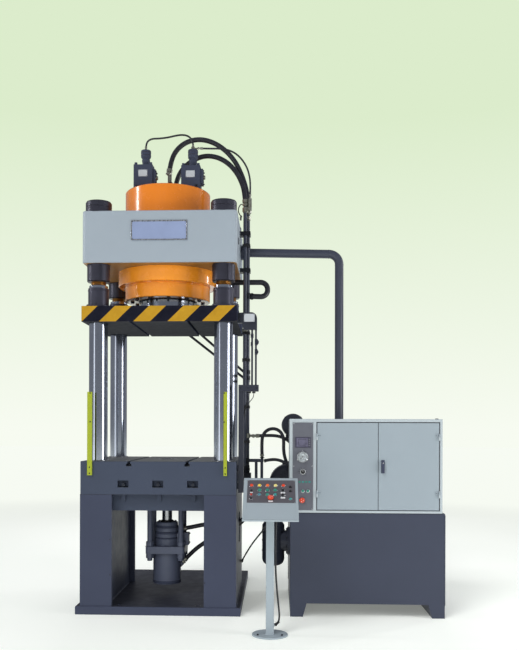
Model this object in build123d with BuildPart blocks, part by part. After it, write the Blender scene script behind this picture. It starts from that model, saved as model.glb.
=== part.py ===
from build123d import *
import math
import os

os.makedirs("parts", exist_ok=True)

# ---------------------------------------------------------------- dimensions
# Millimetres. Origin: floor under the ram axis. X to the right, Y to the rear.

# stand: floor plate and two box legs
BASE_X = 688.0                  # half width of the floor plate
BASE_Y0, BASE_Y1 = -590.0, 1158.0
BASE_T = 68.0
ANCHOR_X, ANCHOR_Y0, ANCHOR_Y1, ANCHOR_R = 330.0, -520.0, 1090.0, 15.0
LEG_OUT, LEG_IN = 650.0, 384.0  # leg from X 384 to X 650
LEG_Y0, LEG_Y1 = -582.0, 534.0
LEG_WALL = 40.0
LEG_RECESS = 46.0               # the web lies back from the flange edges
LEG_TOP = 997.0

# bed
BED_X, BED_Y, BED_TOP = 650.0, 582.0, 1272.0
SLOT_X, SLOT_NECK, SLOT_HEAD = 243.0, 26.0, 44.0
SLOT_DEPTH, SLOT_HEAD_H = 40.0, 20.0
POCKET_X, POCKET_W, POCKET_Z0, POCKET_Z1, POCKET_D = 290.0, 92.0, 1056.0, 1114.0, 60.0
BEAM_Z0, BEAM_Y0, BEAM_T = 855.0, -480.0, 45.0
BED_BORE = 65.0

# columns and crown
COL_X, COL_Y, COL_R, COL_THREAD_R = 531.5, 433.0, 79.0, 57.0
COL_BOTTOM, COL_SHOULDER, COL_TOP = 1002.0, 2749.0, 3436.0
NUT_LOW_R, NUT_LOW_Z0 = 96.0, 2788.0
NUT_TOP_R, NUT_TOP_Z1 = 110.0, 3460.0
CROWN_X, CROWN_Y, CROWN_Z0, CROWN_Z1, CROWN_EDGE = 650.0, 542.0, 2929.0, 3364.0, 40.0

# main cylinder and ram
CYL_R, CYL_TOP = 378.4, 3643.0
CYL_FLANGE_R, CYL_FLANGE_Z0 = 438.5, 2803.0
CYL_BORE, CYL_BORE_TOP = 280.0, 3545.0
GLAND_Z0 = 2677.0
RAM_R, PISTON_Z0, PISTON_Z1 = 245.0, 3480.0, 3535.0
RUN = 0.05                      # radial running clearance

# slide
SLIDE_X, SLIDE_Y, SLIDE_Z0, SLIDE_Z1 = 652.0, 547.0, 2438.0, 2568.0
BUSH_R, SLEEVE_R, SLEEVE_TOP = 83.0, 87.5, 2727.0

# ejector
EJ_BODY_R, EJ_BORE, EJ_ROD = 124.0, 85.0, 45.0
EJ_Z0, EJ_FLANGE_Z0, EJ_FLANGE_Z1, EJ_HEAD_Z, EJ_TOP = 164.0, 440.0, 503.0, 657.0, 711.0
EJ_STUD_X, EJ_STUD_Y, EJ_STUD_R = 138.0, 118.0, 23.0

# tank and cabinet
TANK_X0, TANK_X1, TANK_Y0, TANK_Y1, TANK_TOP = 1097.0, 2357.0, -565.0, 535.0, 855.0
TANK_FOOT = 110.0
CAB_X0, CAB_X1, CAB_Y0, CAB_Y1, CAB_TOP = 1090.0, 2335.0, -565.0, -65.0, 1628.0
CAB_T = 4.0
DOOR_Z0, DOOR_Z1 = 882.0, 1596.0
LDOOR_X0, LDOOR_X1, RDOOR_X0, RDOOR_X1 = 1316.0, 1812.0, 1816.0, 2308.0
DOOR_GAP, DOOR_D, DOOR_T = 2.0, 20.0, 3.0
HINGE_OUT, HINGE_R, PIN_R = 7.0, 7.0, 4.0
HINGE_Z = (1010.0, 1480.0)

# prefill pipe
PRE_Y, PRE_R, PRE_RI, PRE_X = 150.0, 39.0, 34.0, 1550.0

# console
CON_X, CON_HALF = 939.0, 202.5
CON_YB, CON_ZB, CON_YT, CON_ZT = -1464.0, 899.0, -1094.0, 1169.0
CON_BACK, CON_BOTTOM, CON_T = -1040.0, 885.0, 4.0
POST_X, POST_Y, POST_A, DISC_R, DISC_T = 935.0, -1160.0, 60.0, 135.0, 12.0
CTRL_R, STEM_R = 12.0, 9.0


def sloped(u, v):
    """The console's sloped face: origin at X = u and v up the slope, normal outwards."""
    length = math.hypot(CON_YT - CON_YB, CON_ZT - CON_ZB)
    uy, uz = (CON_YT - CON_YB) / length, (CON_ZT - CON_ZB) / length
    return Plane(
        origin=(u, CON_YB + v * uy, CON_ZB + v * uz),
        x_dir=(1, 0, 0),
        z_dir=(0, -uz, uy),
    )


def facing(x, y, z, direction):
    """A plane at a point whose normal runs along the given direction."""
    return Plane(origin=(x, y, z), z_dir=direction)


# ------------------------------------------------------------------- stand
with BuildPart() as stand:
    with BuildSketch():
        with Locations((0, (BASE_Y0 + BASE_Y1) / 2)):
            Rectangle(2 * BASE_X, BASE_Y1 - BASE_Y0)
        with Locations(
            (-ANCHOR_X, ANCHOR_Y0), (ANCHOR_X, ANCHOR_Y0), (-ANCHOR_X, ANCHOR_Y1), (ANCHOR_X, ANCHOR_Y1)
        ):
            Circle(ANCHOR_R, mode=Mode.SUBTRACT)
    extrude(amount=BASE_T)
    chamfer(stand.faces().sort_by(Axis.Z)[-1].outer_wire().edges(), 4)
    # the legs: closed boxes, with the web set back between two flanges
    with BuildSketch(Plane.XY.offset(BASE_T)):
        for side in (-1, 1):
            with Locations((side * (LEG_OUT + LEG_IN) / 2, (LEG_Y0 + LEG_Y1) / 2)):
                Rectangle(LEG_OUT - LEG_IN, LEG_Y1 - LEG_Y0)
            with Locations((side * (LEG_IN + LEG_RECESS / 2), (LEG_Y0 + LEG_Y1) / 2)):
                Rectangle(LEG_RECESS, LEG_Y1 - LEG_Y0 - 2 * LEG_WALL, mode=Mode.SUBTRACT)
            inner = LEG_IN + LEG_RECESS + LEG_WALL
            outer = LEG_OUT - LEG_WALL
            with Locations((side * (inner + outer) / 2, (LEG_Y0 + LEG_Y1) / 2)):
                Rectangle(outer - inner, LEG_Y1 - LEG_Y0 - 2 * LEG_WALL, mode=Mode.SUBTRACT)
    extrude(amount=LEG_TOP - BASE_T)
    # window for the ejector hoses through the right leg
    with BuildSketch(Plane.YZ.offset(LEG_IN + 20)):
        with Locations((15, 665)):
            RectangleRounded(180, 270, 30)
    extrude(amount=LEG_OUT, mode=Mode.SUBTRACT)
stand.part.label = "stand"
export_step(stand.part, "parts/stand.step")

# --------------------------------------------------------------------- bed
with BuildPart() as bed_block:
    with BuildSketch(Plane.XY.offset(LEG_TOP)):
        Rectangle(2 * BED_X, 2 * BED_Y)
    extrude(amount=BED_TOP - LEG_TOP)
    fillet(bed_block.edges().filter_by(Axis.Z), 14)
    chamfer(bed_block.faces().sort_by(Axis.Z)[-1].edges(), 3)
    # recessed beam under the bed's front, between the webs, and its twin behind
    web = LEG_IN + LEG_RECESS
    for y0 in (BEAM_Y0, -BEAM_Y0 - BEAM_T):
        with BuildSketch(Plane.XZ.offset(-y0)):
            with Locations((0, (BEAM_Z0 + LEG_TOP) / 2)):
                Rectangle(2 * web, LEG_TOP - BEAM_Z0)
        extrude(amount=-BEAM_T)
    # lugs under the bed on the beam's front
    for x in (-300, 0, 290):
        with BuildSketch(Plane.XZ.offset(-BEAM_Y0)):
            with Locations((x, LEG_TOP - 30)):
                Rectangle(34, 60)
        extrude(amount=26)
    # T-slots along Y
    with BuildSketch(Plane.XZ.offset(BED_Y + 10)):
        for x in (-SLOT_X, SLOT_X):
            with Locations((x, BED_TOP - SLOT_DEPTH / 2 + 1)):
                Rectangle(SLOT_NECK, SLOT_DEPTH + 2)
            with Locations((x, BED_TOP - SLOT_DEPTH + SLOT_HEAD_H / 2)):
                Rectangle(SLOT_HEAD, SLOT_HEAD_H)
    extrude(amount=-2 * BED_Y - 20, mode=Mode.SUBTRACT)
    # three pockets in the front face, each with a stud end in it
    with BuildSketch(Plane.XZ.offset(BED_Y)):
        for x in (-POCKET_X, 0, POCKET_X):
            with Locations((x, (POCKET_Z0 + POCKET_Z1) / 2)):
                RectangleRounded(POCKET_W, POCKET_Z1 - POCKET_Z0, 5)
    extrude(amount=-POCKET_D, mode=Mode.SUBTRACT)
    with BuildSketch(Plane.XZ.offset(BED_Y - POCKET_D)):
        for x in (-POCKET_X, 0, POCKET_X):
            with Locations((x, POCKET_Z0 + 22)):
                Circle(15)
    extrude(amount=42)
    # ejector bore, column bores
    with Locations((0, 0, LEG_TOP)):
        Cylinder(BED_BORE, 600, mode=Mode.SUBTRACT)
    with BuildSketch(Plane.XY.offset(COL_BOTTOM)):
        with GridLocations(2 * COL_X, 2 * COL_Y, 2, 2):
            Circle(COL_R)
    extrude(amount=BED_TOP, mode=Mode.SUBTRACT)
bed_block.part.label = "bed_block"
export_step(bed_block.part, "parts/bed_block.step")

# ----------------------------------------------------------------- columns
with BuildPart() as columns:
    with BuildSketch(Plane.XY.offset(COL_BOTTOM)):
        with GridLocations(2 * COL_X, 2 * COL_Y, 2, 2):
            Circle(COL_R)
    extrude(amount=COL_SHOULDER - COL_BOTTOM)
    with BuildSketch(Plane.XY.offset(COL_SHOULDER)):
        with GridLocations(2 * COL_X, 2 * COL_Y, 2, 2):
            Circle(COL_THREAD_R)
    extrude(amount=COL_TOP - COL_SHOULDER)
    chamfer(columns.faces().filter_by(Axis.Z).group_by(Axis.Z)[-1].edges(), 4)
columns.part.label = "columns"
export_step(columns.part, "parts/columns.step")

with BuildPart() as column_nuts:
    # below the crown: round nuts with four spanner slots
    with BuildSketch(Plane.XY.offset(NUT_LOW_Z0)):
        with GridLocations(2 * COL_X, 2 * COL_Y, 2, 2):
            Circle(NUT_LOW_R)
            with PolarLocations(NUT_LOW_R, 4, start_angle=20):
                Rectangle(14, 22, mode=Mode.SUBTRACT)
            Circle(COL_THREAD_R, mode=Mode.SUBTRACT)
    extrude(amount=CROWN_Z0 - NUT_LOW_Z0)
    # above the crown: capped round nuts with a groove
    for z0, z1, radius in (
        (CROWN_Z1, CROWN_Z1 + 45, NUT_TOP_R),
        (CROWN_Z1 + 45, CROWN_Z1 + 52, NUT_TOP_R - 5),
        (CROWN_Z1 + 52, NUT_TOP_Z1 - 12, NUT_TOP_R),
    ):
        with BuildSketch(Plane.XY.offset(z0)):
            with GridLocations(2 * COL_X, 2 * COL_Y, 2, 2):
                Circle(radius)
                Circle(COL_THREAD_R, mode=Mode.SUBTRACT)
        extrude(amount=z1 - z0)
    with BuildSketch(Plane.XY.offset(NUT_TOP_Z1 - 12)):
        with GridLocations(2 * COL_X, 2 * COL_Y, 2, 2):
            Circle(NUT_TOP_R)
    extrude(amount=12, taper=30)
column_nuts.part.label = "column_nuts"
export_step(column_nuts.part, "parts/column_nuts.step")

# ------------------------------------------------------------------- crown
with BuildPart() as crown:
    with BuildSketch(Plane.XY.offset(CROWN_Z0)):
        RectangleRounded(2 * CROWN_X, 2 * CROWN_Y, CROWN_EDGE)
        Circle(CYL_R, mode=Mode.SUBTRACT)
        with GridLocations(2 * COL_X, 2 * COL_Y, 2, 2):
            Circle(COL_THREAD_R, mode=Mode.SUBTRACT)
    extrude(amount=CROWN_Z1 - CROWN_Z0)
    chamfer(crown.faces().filter_by(Axis.Z).sort_by(Axis.Z)[-1].outer_wire().edges(), 5)
    chamfer(crown.faces().filter_by(Axis.Z).sort_by(Axis.Z)[0].outer_wire().edges(), 5)
crown.part.label = "crown"
export_step(crown.part, "parts/crown.step")

with BuildPart() as nameplate:
    with BuildSketch(Plane.XZ.offset(CROWN_Y)):
        with Locations((0, 3196)):
            Rectangle(470, 166)
            with GridLocations(450, 146, 2, 2):
                Circle(3, mode=Mode.SUBTRACT)
    extrude(amount=5)
nameplate.part.label = "nameplate"
export_step(nameplate.part, "parts/nameplate.step")

# ----------------------------------------------------------- main cylinder
with BuildPart() as main_cylinder:
    with BuildSketch(Plane.XZ):
        with BuildLine():
            Polyline(
                (CYL_BORE, CYL_FLANGE_Z0),
                (CYL_FLANGE_R - 5, CYL_FLANGE_Z0),
                (CYL_FLANGE_R, CYL_FLANGE_Z0 + 5),
                (CYL_FLANGE_R, CROWN_Z0),
                (CYL_R, CROWN_Z0),
                (CYL_R, CYL_TOP - 8),
                (CYL_R - 8, CYL_TOP),
                (0, CYL_TOP),
                (0, CYL_BORE_TOP),
                (CYL_BORE, CYL_BORE_TOP),
                close=True,
            )
        make_face()
    revolve(axis=Axis.Z)
main_cylinder.part.label = "main_cylinder"
export_step(main_cylinder.part, "parts/main_cylinder.step")

with BuildPart() as gland_ring:
    with BuildSketch(Plane.XZ):
        with BuildLine():
            Polyline(
                (RAM_R + RUN, GLAND_Z0 + 6),
                (RAM_R + 6, GLAND_Z0),
                (CYL_R - 4, GLAND_Z0),
                (CYL_R, GLAND_Z0 + 4),
                (CYL_R, CYL_FLANGE_Z0),
                (RAM_R + RUN, CYL_FLANGE_Z0),
                close=True,
            )
        make_face()
    revolve(axis=Axis.Z)
gland_ring.part.label = "gland_ring"
export_step(gland_ring.part, "parts/gland_ring.step")

with BuildPart() as gland_bolts:
    # socket screws under the gland ring
    with BuildSketch(Plane.XY.offset(GLAND_Z0 - 12)):
        with PolarLocations(315, 12, start_angle=9):
            Circle(17)
    extrude(amount=12)
    chamfer(gland_bolts.faces().filter_by(Axis.Z).group_by(Axis.Z)[0].edges(), 2)
    with BuildSketch(Plane.XY.offset(GLAND_Z0 - 12)):
        with PolarLocations(315, 12, start_angle=9):
            RegularPolygon(9, 6)
    extrude(amount=7, mode=Mode.SUBTRACT)
gland_bolts.part.label = "gland_bolts"
export_step(gland_bolts.part, "parts/gland_bolts.step")

with BuildPart() as ram:
    with BuildSketch(Plane.XY.offset(SLIDE_Z1)):
        Circle(RAM_R)
    extrude(amount=PISTON_Z0 - SLIDE_Z1)
    with BuildSketch(Plane.XY.offset(PISTON_Z0)):
        Circle(CYL_BORE - RUN)
    extrude(amount=PISTON_Z1 - PISTON_Z0)
ram.part.label = "ram"
export_step(ram.part, "parts/ram.step")

# ------------------------------------------------------------------- slide
with BuildPart() as slide:
    with BuildSketch(Plane.XY.offset(SLIDE_Z0)):
        Rectangle(2 * SLIDE_X, 2 * SLIDE_Y)
        with GridLocations(2 * COL_X, 2 * COL_Y, 2, 2):
            Circle(BUSH_R, mode=Mode.SUBTRACT)
    extrude(amount=SLIDE_Z1 - SLIDE_Z0)
    fillet(slide.edges().filter_by(Axis.Z).filter_by(lambda e: abs(e.center().X) > SLIDE_X - 1), 6)
    with BuildSketch(Plane.XZ.offset(SLIDE_Y + 10)):
        for x in (-SLOT_X, SLOT_X):
            with Locations((x, SLIDE_Z0 + SLOT_DEPTH / 2 - 1)):
                Rectangle(SLOT_NECK, SLOT_DEPTH + 2)
            with Locations((x, SLIDE_Z0 + SLOT_DEPTH - SLOT_HEAD_H / 2)):
                Rectangle(SLOT_HEAD, SLOT_HEAD_H)
    extrude(amount=-2 * SLIDE_Y - 20, mode=Mode.SUBTRACT)
slide.part.label = "slide"
export_step(slide.part, "parts/slide.step")

with BuildPart() as guide_sleeves:
    with BuildSketch(Plane.XY.offset(SLIDE_Z1)):
        with GridLocations(2 * COL_X, 2 * COL_Y, 2, 2):
            Circle(SLEEVE_R)
            Circle(BUSH_R, mode=Mode.SUBTRACT)
    extrude(amount=SLEEVE_TOP - SLIDE_Z1)
    with BuildSketch(Plane.XY.offset(SLIDE_Z1)):
        with GridLocations(2 * COL_X, 2 * COL_Y, 2, 2):
            Circle(106)
            Circle(BUSH_R, mode=Mode.SUBTRACT)
    extrude(amount=14)
guide_sleeves.part.label = "guide_sleeves"
export_step(guide_sleeves.part, "parts/guide_sleeves.step")

with BuildPart() as guide_bushes:
    with BuildSketch(Plane.XY.offset(SLIDE_Z0 + 4)):
        with GridLocations(2 * COL_X, 2 * COL_Y, 2, 2):
            Circle(BUSH_R)
            Circle(COL_R + RUN, mode=Mode.SUBTRACT)
    extrude(amount=SLEEVE_TOP - SLIDE_Z0 - 6)
guide_bushes.part.label = "guide_bushes"
export_step(guide_bushes.part, "parts/guide_bushes.step")

# ------------------------------------------------- trip frame, switch post
with BuildPart() as trip_frame:
    # arm on the slide's right side, with its outer upper corner rounded
    with BuildSketch(Plane.XZ.offset(468)):
        with BuildLine():
            Line((SLIDE_X, 2432), (SLIDE_X, 2518))
            Line((SLIDE_X, 2518), (765, 2522))
            RadiusArc((765, 2522), (815, 2472), 50)
            Line((815, 2472), (815, 2376))
            Line((815, 2376), (700, 2376))
            Line((700, 2376), (690, 2432))
            Line((690, 2432), (SLIDE_X, 2432))
        make_face()
    extrude(amount=-44)
    # two bars hanging from the arm
    for x0, x1 in ((766, 782), (798, 814)):
        with BuildSketch(Plane.XY.offset(2376)):
            with Locations(((x0 + x1) / 2, -446)):
                Rectangle(x1 - x0, 16)
        extrude(amount=-(2376 - 1862))
    # trip cams clamped on the bars
    for x0, x1, z0, z1 in ((796, 821, 2248, 2298), (796, 819, 2168, 2214), (762, 786, 2310, 2342), (762, 780, 2240, 2272)):
        with BuildSketch(Plane.XY.offset(z0)):
            with Locations(((x0 + x1) / 2, -446)):
                Rectangle(x1 - x0, 30)
        extrude(amount=z1 - z0)
trip_frame.part.label = "trip_frame"
export_step(trip_frame.part, "parts/trip_frame.step")

with BuildPart() as switch_post:
    # head: a frame that the bars and cams pass through
    with BuildSketch(Plane.XY.offset(1859)):
        with Locations(((662 + 830) / 2, -446)):
            Rectangle(830 - 662, 72)
        with Locations(((752 + 824) / 2, -446)):
            Rectangle(824 - 752, 52, mode=Mode.SUBTRACT)
    extrude(amount=54)
    # channel down to the bed's side, open to the rear
    with BuildSketch(Plane.XY.offset(1010)):
        with Locations((684, -446)):
            Rectangle(44, 60)
        with Locations((684, -440)):
            Rectangle(36, 60, mode=Mode.SUBTRACT)
    extrude(amount=1859 - 1010)
    # two pads on the bed's side
    for z in (1040, 1190):
        with BuildSketch(Plane.YZ.offset(BED_X)):
            with Locations((-446, z + 25)):
                Rectangle(50, 50)
        extrude(amount=12.5)
switch_post.part.label = "switch_post"
export_step(switch_post.part, "parts/switch_post.step")

# -------------------------------------------------------- light barriers
with BuildPart() as guard_strips:
    for x, width in ((-567, 40), (560, 28)):
        with BuildSketch(Plane.XY.offset(1157)):
            with Locations((x, -BED_Y - 9)):
                Rectangle(width, 18)
        extrude(amount=1847 - 1157)
guard_strips.part.label = "guard_strips"
export_step(guard_strips.part, "parts/guard_strips.step")

# ------------------------------------------------------- valves on the top
VALVES = ((-282.0, -115.0, 3868.0, -184.0), (138.0, 305.0, 3856.0, 235.0))
with BuildPart() as valve_blocks:
    for x0, x1, top, _ in VALVES:
        with BuildSketch(Plane.XY.offset(CYL_TOP)):
            with Locations(((x0 + x1) / 2, -105)):
                Rectangle(x1 - x0, 150)
        extrude(amount=top - CYL_TOP)
        # pilot plate on the right side
        with BuildSketch(Plane.YZ.offset(x1)):
            with Locations((-120, CYL_TOP + 120)):
                Rectangle(90, 130)
        extrude(amount=24)
        # screw heads on the top
        with BuildSketch(Plane.XY.offset(top)):
            with Locations(((x0 + x1) / 2, -105)):
                with GridLocations(x1 - x0 - 36, 114, 2, 2):
                    Circle(13)
        extrude(amount=20)
valve_blocks.part.label = "valve_blocks"
export_step(valve_blocks.part, "parts/valve_blocks.step")

with BuildPart() as valve_adapters:
    for x0, x1, top, cx in VALVES:
        with BuildSketch(Plane(origin=(cx, -105, 0), x_dir=(1, 0, 0), z_dir=(0, -1, 0))):
            with BuildLine():
                Polyline(
                    (0, top), (34, top), (34, top + 10), (30, top + 16), (36, top + 52),
                    (36, top + 58), (31, top + 66), (44, top + 84), (44, 4008), (40, 4012), (0, 4012),
                    close=True,
                )
            make_face()
        revolve(axis=Axis((cx, -105, 0), (0, 0, 1)))
valve_adapters.part.label = "valve_adapters"
export_step(valve_adapters.part, "parts/valve_adapters.step")

# --------------------------------------------------------------- ejector
with BuildPart() as ejector_cylinder:
    with BuildSketch(Plane.XY.offset(EJ_Z0)):
        Circle(EJ_BODY_R)
    extrude(amount=EJ_FLANGE_Z0 - EJ_Z0)
    with BuildSketch(Plane.XY.offset(EJ_FLANGE_Z0)):
        RectangleRounded(344, 316, 22)
    extrude(amount=EJ_FLANGE_Z1 - EJ_FLANGE_Z0)
    with BuildSketch(Plane.XY.offset(EJ_FLANGE_Z1)):
        Circle(104)
    extrude(amount=EJ_HEAD_Z - EJ_FLANGE_Z1)
    with BuildSketch(Plane.XY.offset(EJ_HEAD_Z - 20)):
        Circle(97)
    extrude(amount=EJ_TOP - EJ_HEAD_Z + 20)
    fillet(ejector_cylinder.faces().sort_by(Axis.Z)[-1].edges(), 10)
    # port block on the right
    with BuildSketch(Plane.XY.offset(EJ_FLANGE_Z1)):
        with Locations((146, 0)):
            Rectangle(104, 90)
    extrude(amount=110)
    # bosses that the two hose fittings screw into
    for start, along, reach in (((176, 0, 652), (-64, 0, -12), 60), ((172, 20, 378), (-44, -2, -46), 50)):
        boss = Vector(*start) + Vector(*along).normalized() * reach
        with BuildSketch(Plane(origin=boss, z_dir=Vector(*along))):
            Circle(22)
        extrude(amount=40)
    # bore, and the rod's running fit
    with BuildSketch(Plane.XY.offset(EJ_Z0 + 30)):
        Circle(EJ_BORE)
    extrude(amount=EJ_HEAD_Z - EJ_Z0 - 30, mode=Mode.SUBTRACT)
    with BuildSketch(Plane.XY.offset(EJ_HEAD_Z - 1)):
        Circle(EJ_ROD + RUN)
    extrude(amount=100, mode=Mode.SUBTRACT)
    # stud holes
    with BuildSketch(Plane.XY.offset(EJ_FLANGE_Z0)):
        with GridLocations(2 * EJ_STUD_X, 2 * EJ_STUD_Y, 2, 2):
            Circle(EJ_STUD_R)
    extrude(amount=EJ_FLANGE_Z1 - EJ_FLANGE_Z0, mode=Mode.SUBTRACT)
ejector_cylinder.part.label = "ejector_cylinder"
export_step(ejector_cylinder.part, "parts/ejector_cylinder.step")

with BuildPart() as ejector_studs:
    with BuildSketch(Plane.XY.offset(EJ_FLANGE_Z0 - 62)):
        with GridLocations(2 * EJ_STUD_X, 2 * EJ_STUD_Y, 2, 2):
            Circle(EJ_STUD_R)
    extrude(amount=LEG_TOP - EJ_FLANGE_Z0 + 62)
    for z in (EJ_FLANGE_Z0 - 42, EJ_FLANGE_Z1):
        with BuildSketch(Plane.XY.offset(z)):
            with GridLocations(2 * EJ_STUD_X, 2 * EJ_STUD_Y, 2, 2):
                RegularPolygon(34, 6, major_radius=True)
        extrude(amount=42)
ejector_studs.part.label = "ejector_studs"
export_step(ejector_studs.part, "parts/ejector_studs.step")

with BuildPart() as ejector_rod:
    with BuildSketch(Plane.XY.offset(EJ_Z0 + 36)):
        Circle(EJ_BORE - RUN)
    extrude(amount=60)
    with BuildSketch(Plane.XY.offset(EJ_Z0 + 96)):
        Circle(EJ_ROD)
    extrude(amount=1216 - EJ_Z0 - 96)
    with BuildSketch(Plane.XY.offset(1216)):
        Circle(60)
    extrude(amount=50)
    chamfer(ejector_rod.faces().sort_by(Axis.Z)[-1].edges(), 3)
ejector_rod.part.label = "ejector_rod"
export_step(ejector_rod.part, "parts/ejector_rod.step")

# ------------------------------------------------------------ rigid pipes
RISER_1, RISER_2 = (696.0, -25.0), (720.0, 27.0)
RISER_R = 17.0
DROPS = ((800.0, 1001.0), (850.0, 1083.0))
CROSS_Y = -10.0
with BuildPart() as riser_pipes:
    for (x, y), z0, z1 in ((RISER_1, 1216, 3526), (RISER_2, 1216, 3468)):
        with BuildSketch(Plane.XY.offset(z0)):
            with Locations((x, y)):
                Circle(RISER_R)
                Circle(RISER_R - 4, mode=Mode.SUBTRACT)
        extrude(amount=z1 - z0)
    # two drops from the cross pipe to the ejector hoses
    for x, z in DROPS:
        with BuildSketch(Plane.XY.offset(z)):
            with Locations((x, CROSS_Y)):
                Circle(13)
        extrude(amount=1262 - z)
    with BuildSketch(Plane.YZ.offset(737.5)):
        with Locations((CROSS_Y, 1262)):
            Circle(15)
    extrude(amount=865 - 737.5)
riser_pipes.part.label = "riser_pipes"
export_step(riser_pipes.part, "parts/riser_pipes.step")

# formed return pipe: from the cylinder's flange, round a tight bend, to the second riser
RETURN_Y, RETURN_R = 84.0, 24.0
# two slim pipes on the press's rear: down from the crown, aslant behind the slide, forward to the riser
REAR_Y, REAR_R, REAR_X = 600.0, 12.0, 712.0
REAR_LINES = ((-184.0, 1999.5), (-32.0, 2054.0))
with BuildPart() as return_pipe:
    with BuildLine() as bend:
        FilletPolyline(
            (445, RETURN_Y, 2872), (896, RETURN_Y, 2872), (896, RETURN_Y - 16, 2738), (765, RETURN_Y - 42, 2738),
            radius=(64, 64),
        )
    bend_line = bend.wires()[0]
    with BuildSketch(Plane(origin=(445, RETURN_Y, 2872), z_dir=bend_line % 0)):
        Circle(RETURN_R)
        Circle(RETURN_R - 4, mode=Mode.SUBTRACT)
    sweep(path=bend_line)
    for x, z in REAR_LINES:
        with BuildLine() as rear:
            FilletPolyline(
                (x, CROWN_Y + 14, 3010), (x, REAR_Y, 3010), (x, REAR_Y, 2700), (REAR_X, REAR_Y, z), (REAR_X, 66, z),
                radius=(34, 80, 80),
            )
        rear_line = rear.wires()[0]
        with BuildSketch(Plane(origin=(x, CROWN_Y + 14, 3010), z_dir=rear_line % 0)):
            Circle(REAR_R)
            Circle(REAR_R - 3, mode=Mode.SUBTRACT)
        sweep(path=rear_line)
return_pipe.part.label = "return_pipe"
export_step(return_pipe.part, "parts/return_pipe.step")

with BuildPart() as prefill_pipe:
    with BuildLine() as route:
        FilletPolyline((652, PRE_Y, 3156), (PRE_X - 4, PRE_Y, 3136), (PRE_X, PRE_Y, TANK_TOP + 2), radius=95)
    pipe_line = route.wires()[0]
    with BuildSketch(Plane(origin=(652, PRE_Y, 3156), z_dir=pipe_line % 0)):
        Circle(PRE_R)
    sweep(path=pipe_line)
    # flange on the crown's side and flange on the tank
    with BuildSketch(Plane.YZ.offset(CROWN_X)):
        with Locations((PRE_Y, 3156)):
            Circle(66)
    extrude(amount=24)
    with BuildSketch(Plane.XY.offset(TANK_TOP)):
        with Locations((PRE_X, PRE_Y)):
            Circle(72)
    extrude(amount=22)
    # the bore, right through both flanges
    with BuildLine() as bore_route:
        FilletPolyline((640, PRE_Y, 3156.27), (PRE_X - 4, PRE_Y, 3136), (PRE_X + 0.02, PRE_Y, TANK_TOP - 10), radius=95)
    bore_line = bore_route.wires()[0]
    with BuildSketch(Plane(origin=(640, PRE_Y, 3156.27), z_dir=bore_line % 0)):
        Circle(PRE_RI)
    sweep(path=bore_line, mode=Mode.SUBTRACT)
prefill_pipe.part.label = "prefill_pipe"
export_step(prefill_pipe.part, "parts/prefill_pipe.step")

# -------------------------------------------------------------- hoses
# Each route is a list of points; the corner radii follow from the runs.
HOSES = {
    "main_hose_front": (44, [
        (14, 0, 3881), (30, 0, 3974), (82, 2, 4064), (170, 6, 4130), (286, 10, 4152), (408, 14, 4122),
        (520, 20, 4048), (608, 28, 3944), (664, 33, 3826), (700, 32, 3714), (715, 29, 3630), (719, 27, 3562)]),
    "main_hose_rear": (44, [
        (52, 84, 3730), (70, 84, 3822), (124, 80, 3914), (214, 70, 3984), (326, 56, 4018), (440, 38, 3998),
        (540, 14, 3934), (614, -10, 3846), (662, -22, 3752), (688, -25, 3668), (695, -25, 3590)]),
    "pilot_hose_left": (16, [
        (-184, -105, 4047), (-181, -105, 4078), (-160, -105, 4106), (-122, -105, 4119), (-66, -105, 4119),
        (10, -105, 4127), (80, -105, 4143), (136, -105, 4150), (184, -105, 4142), (218, -105, 4116), (233, -105, 4082), (235, -105, 4052)]),
    "pilot_hose_right": (16, [
        (322, -105, 4026), (392, -103, 4024), (470, -98, 4026), (548, -90, 4016), (618, -80, 3984), (676, -68, 3928),
        (718, -56, 3856), (738, -48, 3776), (742, -42, 3700), (740, -38, 3636)]),
    "ejector_hose_upper": (38, [
        (176, 0, 652), (240, 0, 664), (330, -1, 684), (432, -3, 696), (534, -5, 699), (630, -7, 708), (692, -8, 738),
        (743, -9, 785), (780, -10, 844), (798, -10, 911), (800, -10, 970)]),
    "ejector_hose_lower": (38, [
        (172, 20, 378), (216, 22, 424), (284, 26, 484), (372, 34, 538), (470, 44, 578), (566, 50, 622), (646, 53, 682),
        (714, 49, 752), (788, 36, 838), (833, 16, 912), (850, -3, 984), (850, -10, 1052)]),
    "link_hose_arch": (30, [
        (852, -10, 1318), (850, -10, 1370), (851, -10, 1424), (854, -9, 1474), (877, -8, 1518), (920, -7, 1545),
        (970, -5, 1547), (1014, -3, 1524), (1040, -1, 1481), (1046, 2, 1426), (1044, 6, 1366), (1052, 10, 1300),
        (1075, 15, 1234), (1103, 20, 1172), (1118, 23, 1108), (1118, 24, 1044)]),
    "link_hose_high": (29, [
        (826, 27, 1483), (900, 33, 1486), (980, 41, 1484), (1052, 46, 1464), (1114, 44, 1418), (1156, 38, 1352),
        (1176, 32, 1272), (1182, 27, 1190), (1180, 24, 1112), (1181, 22, 1044)]),
    "link_hose_low": (28, [
        (886, -10, 1262), (934, -11, 1272), (992, -14, 1270), (1050, -19, 1250), (1106, -25, 1216), (1160, -29, 1172),
        (1204, -30, 1120), (1230, -31, 1062), (1236, -31, 1010)]),
    "leg_cable": (14, [
        (668, 180, 332), (701, 94, 402), (734, 4, 465), (766, -90, 524), (797, -189, 576), (825, -291, 622),
        (849, -396, 663), (871, -503, 700), (889, -611, 736), (904, -718, 775), (916, -824, 819), (925, -926, 871),
        (930, -1024, 934)]),
    "console_cable": (14, [
        (980, -1150, 865), (978, -1150, 770), (975, -1150, 660), (975.5, -1150, 545), (980, -1150, 430),
        (989, -1150, 320), (999, -1151, 225), (1006, -1153, 160), (1005, -1156, 122), (997, -1159, 94), (979, -1160, 78)]),
}


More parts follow.
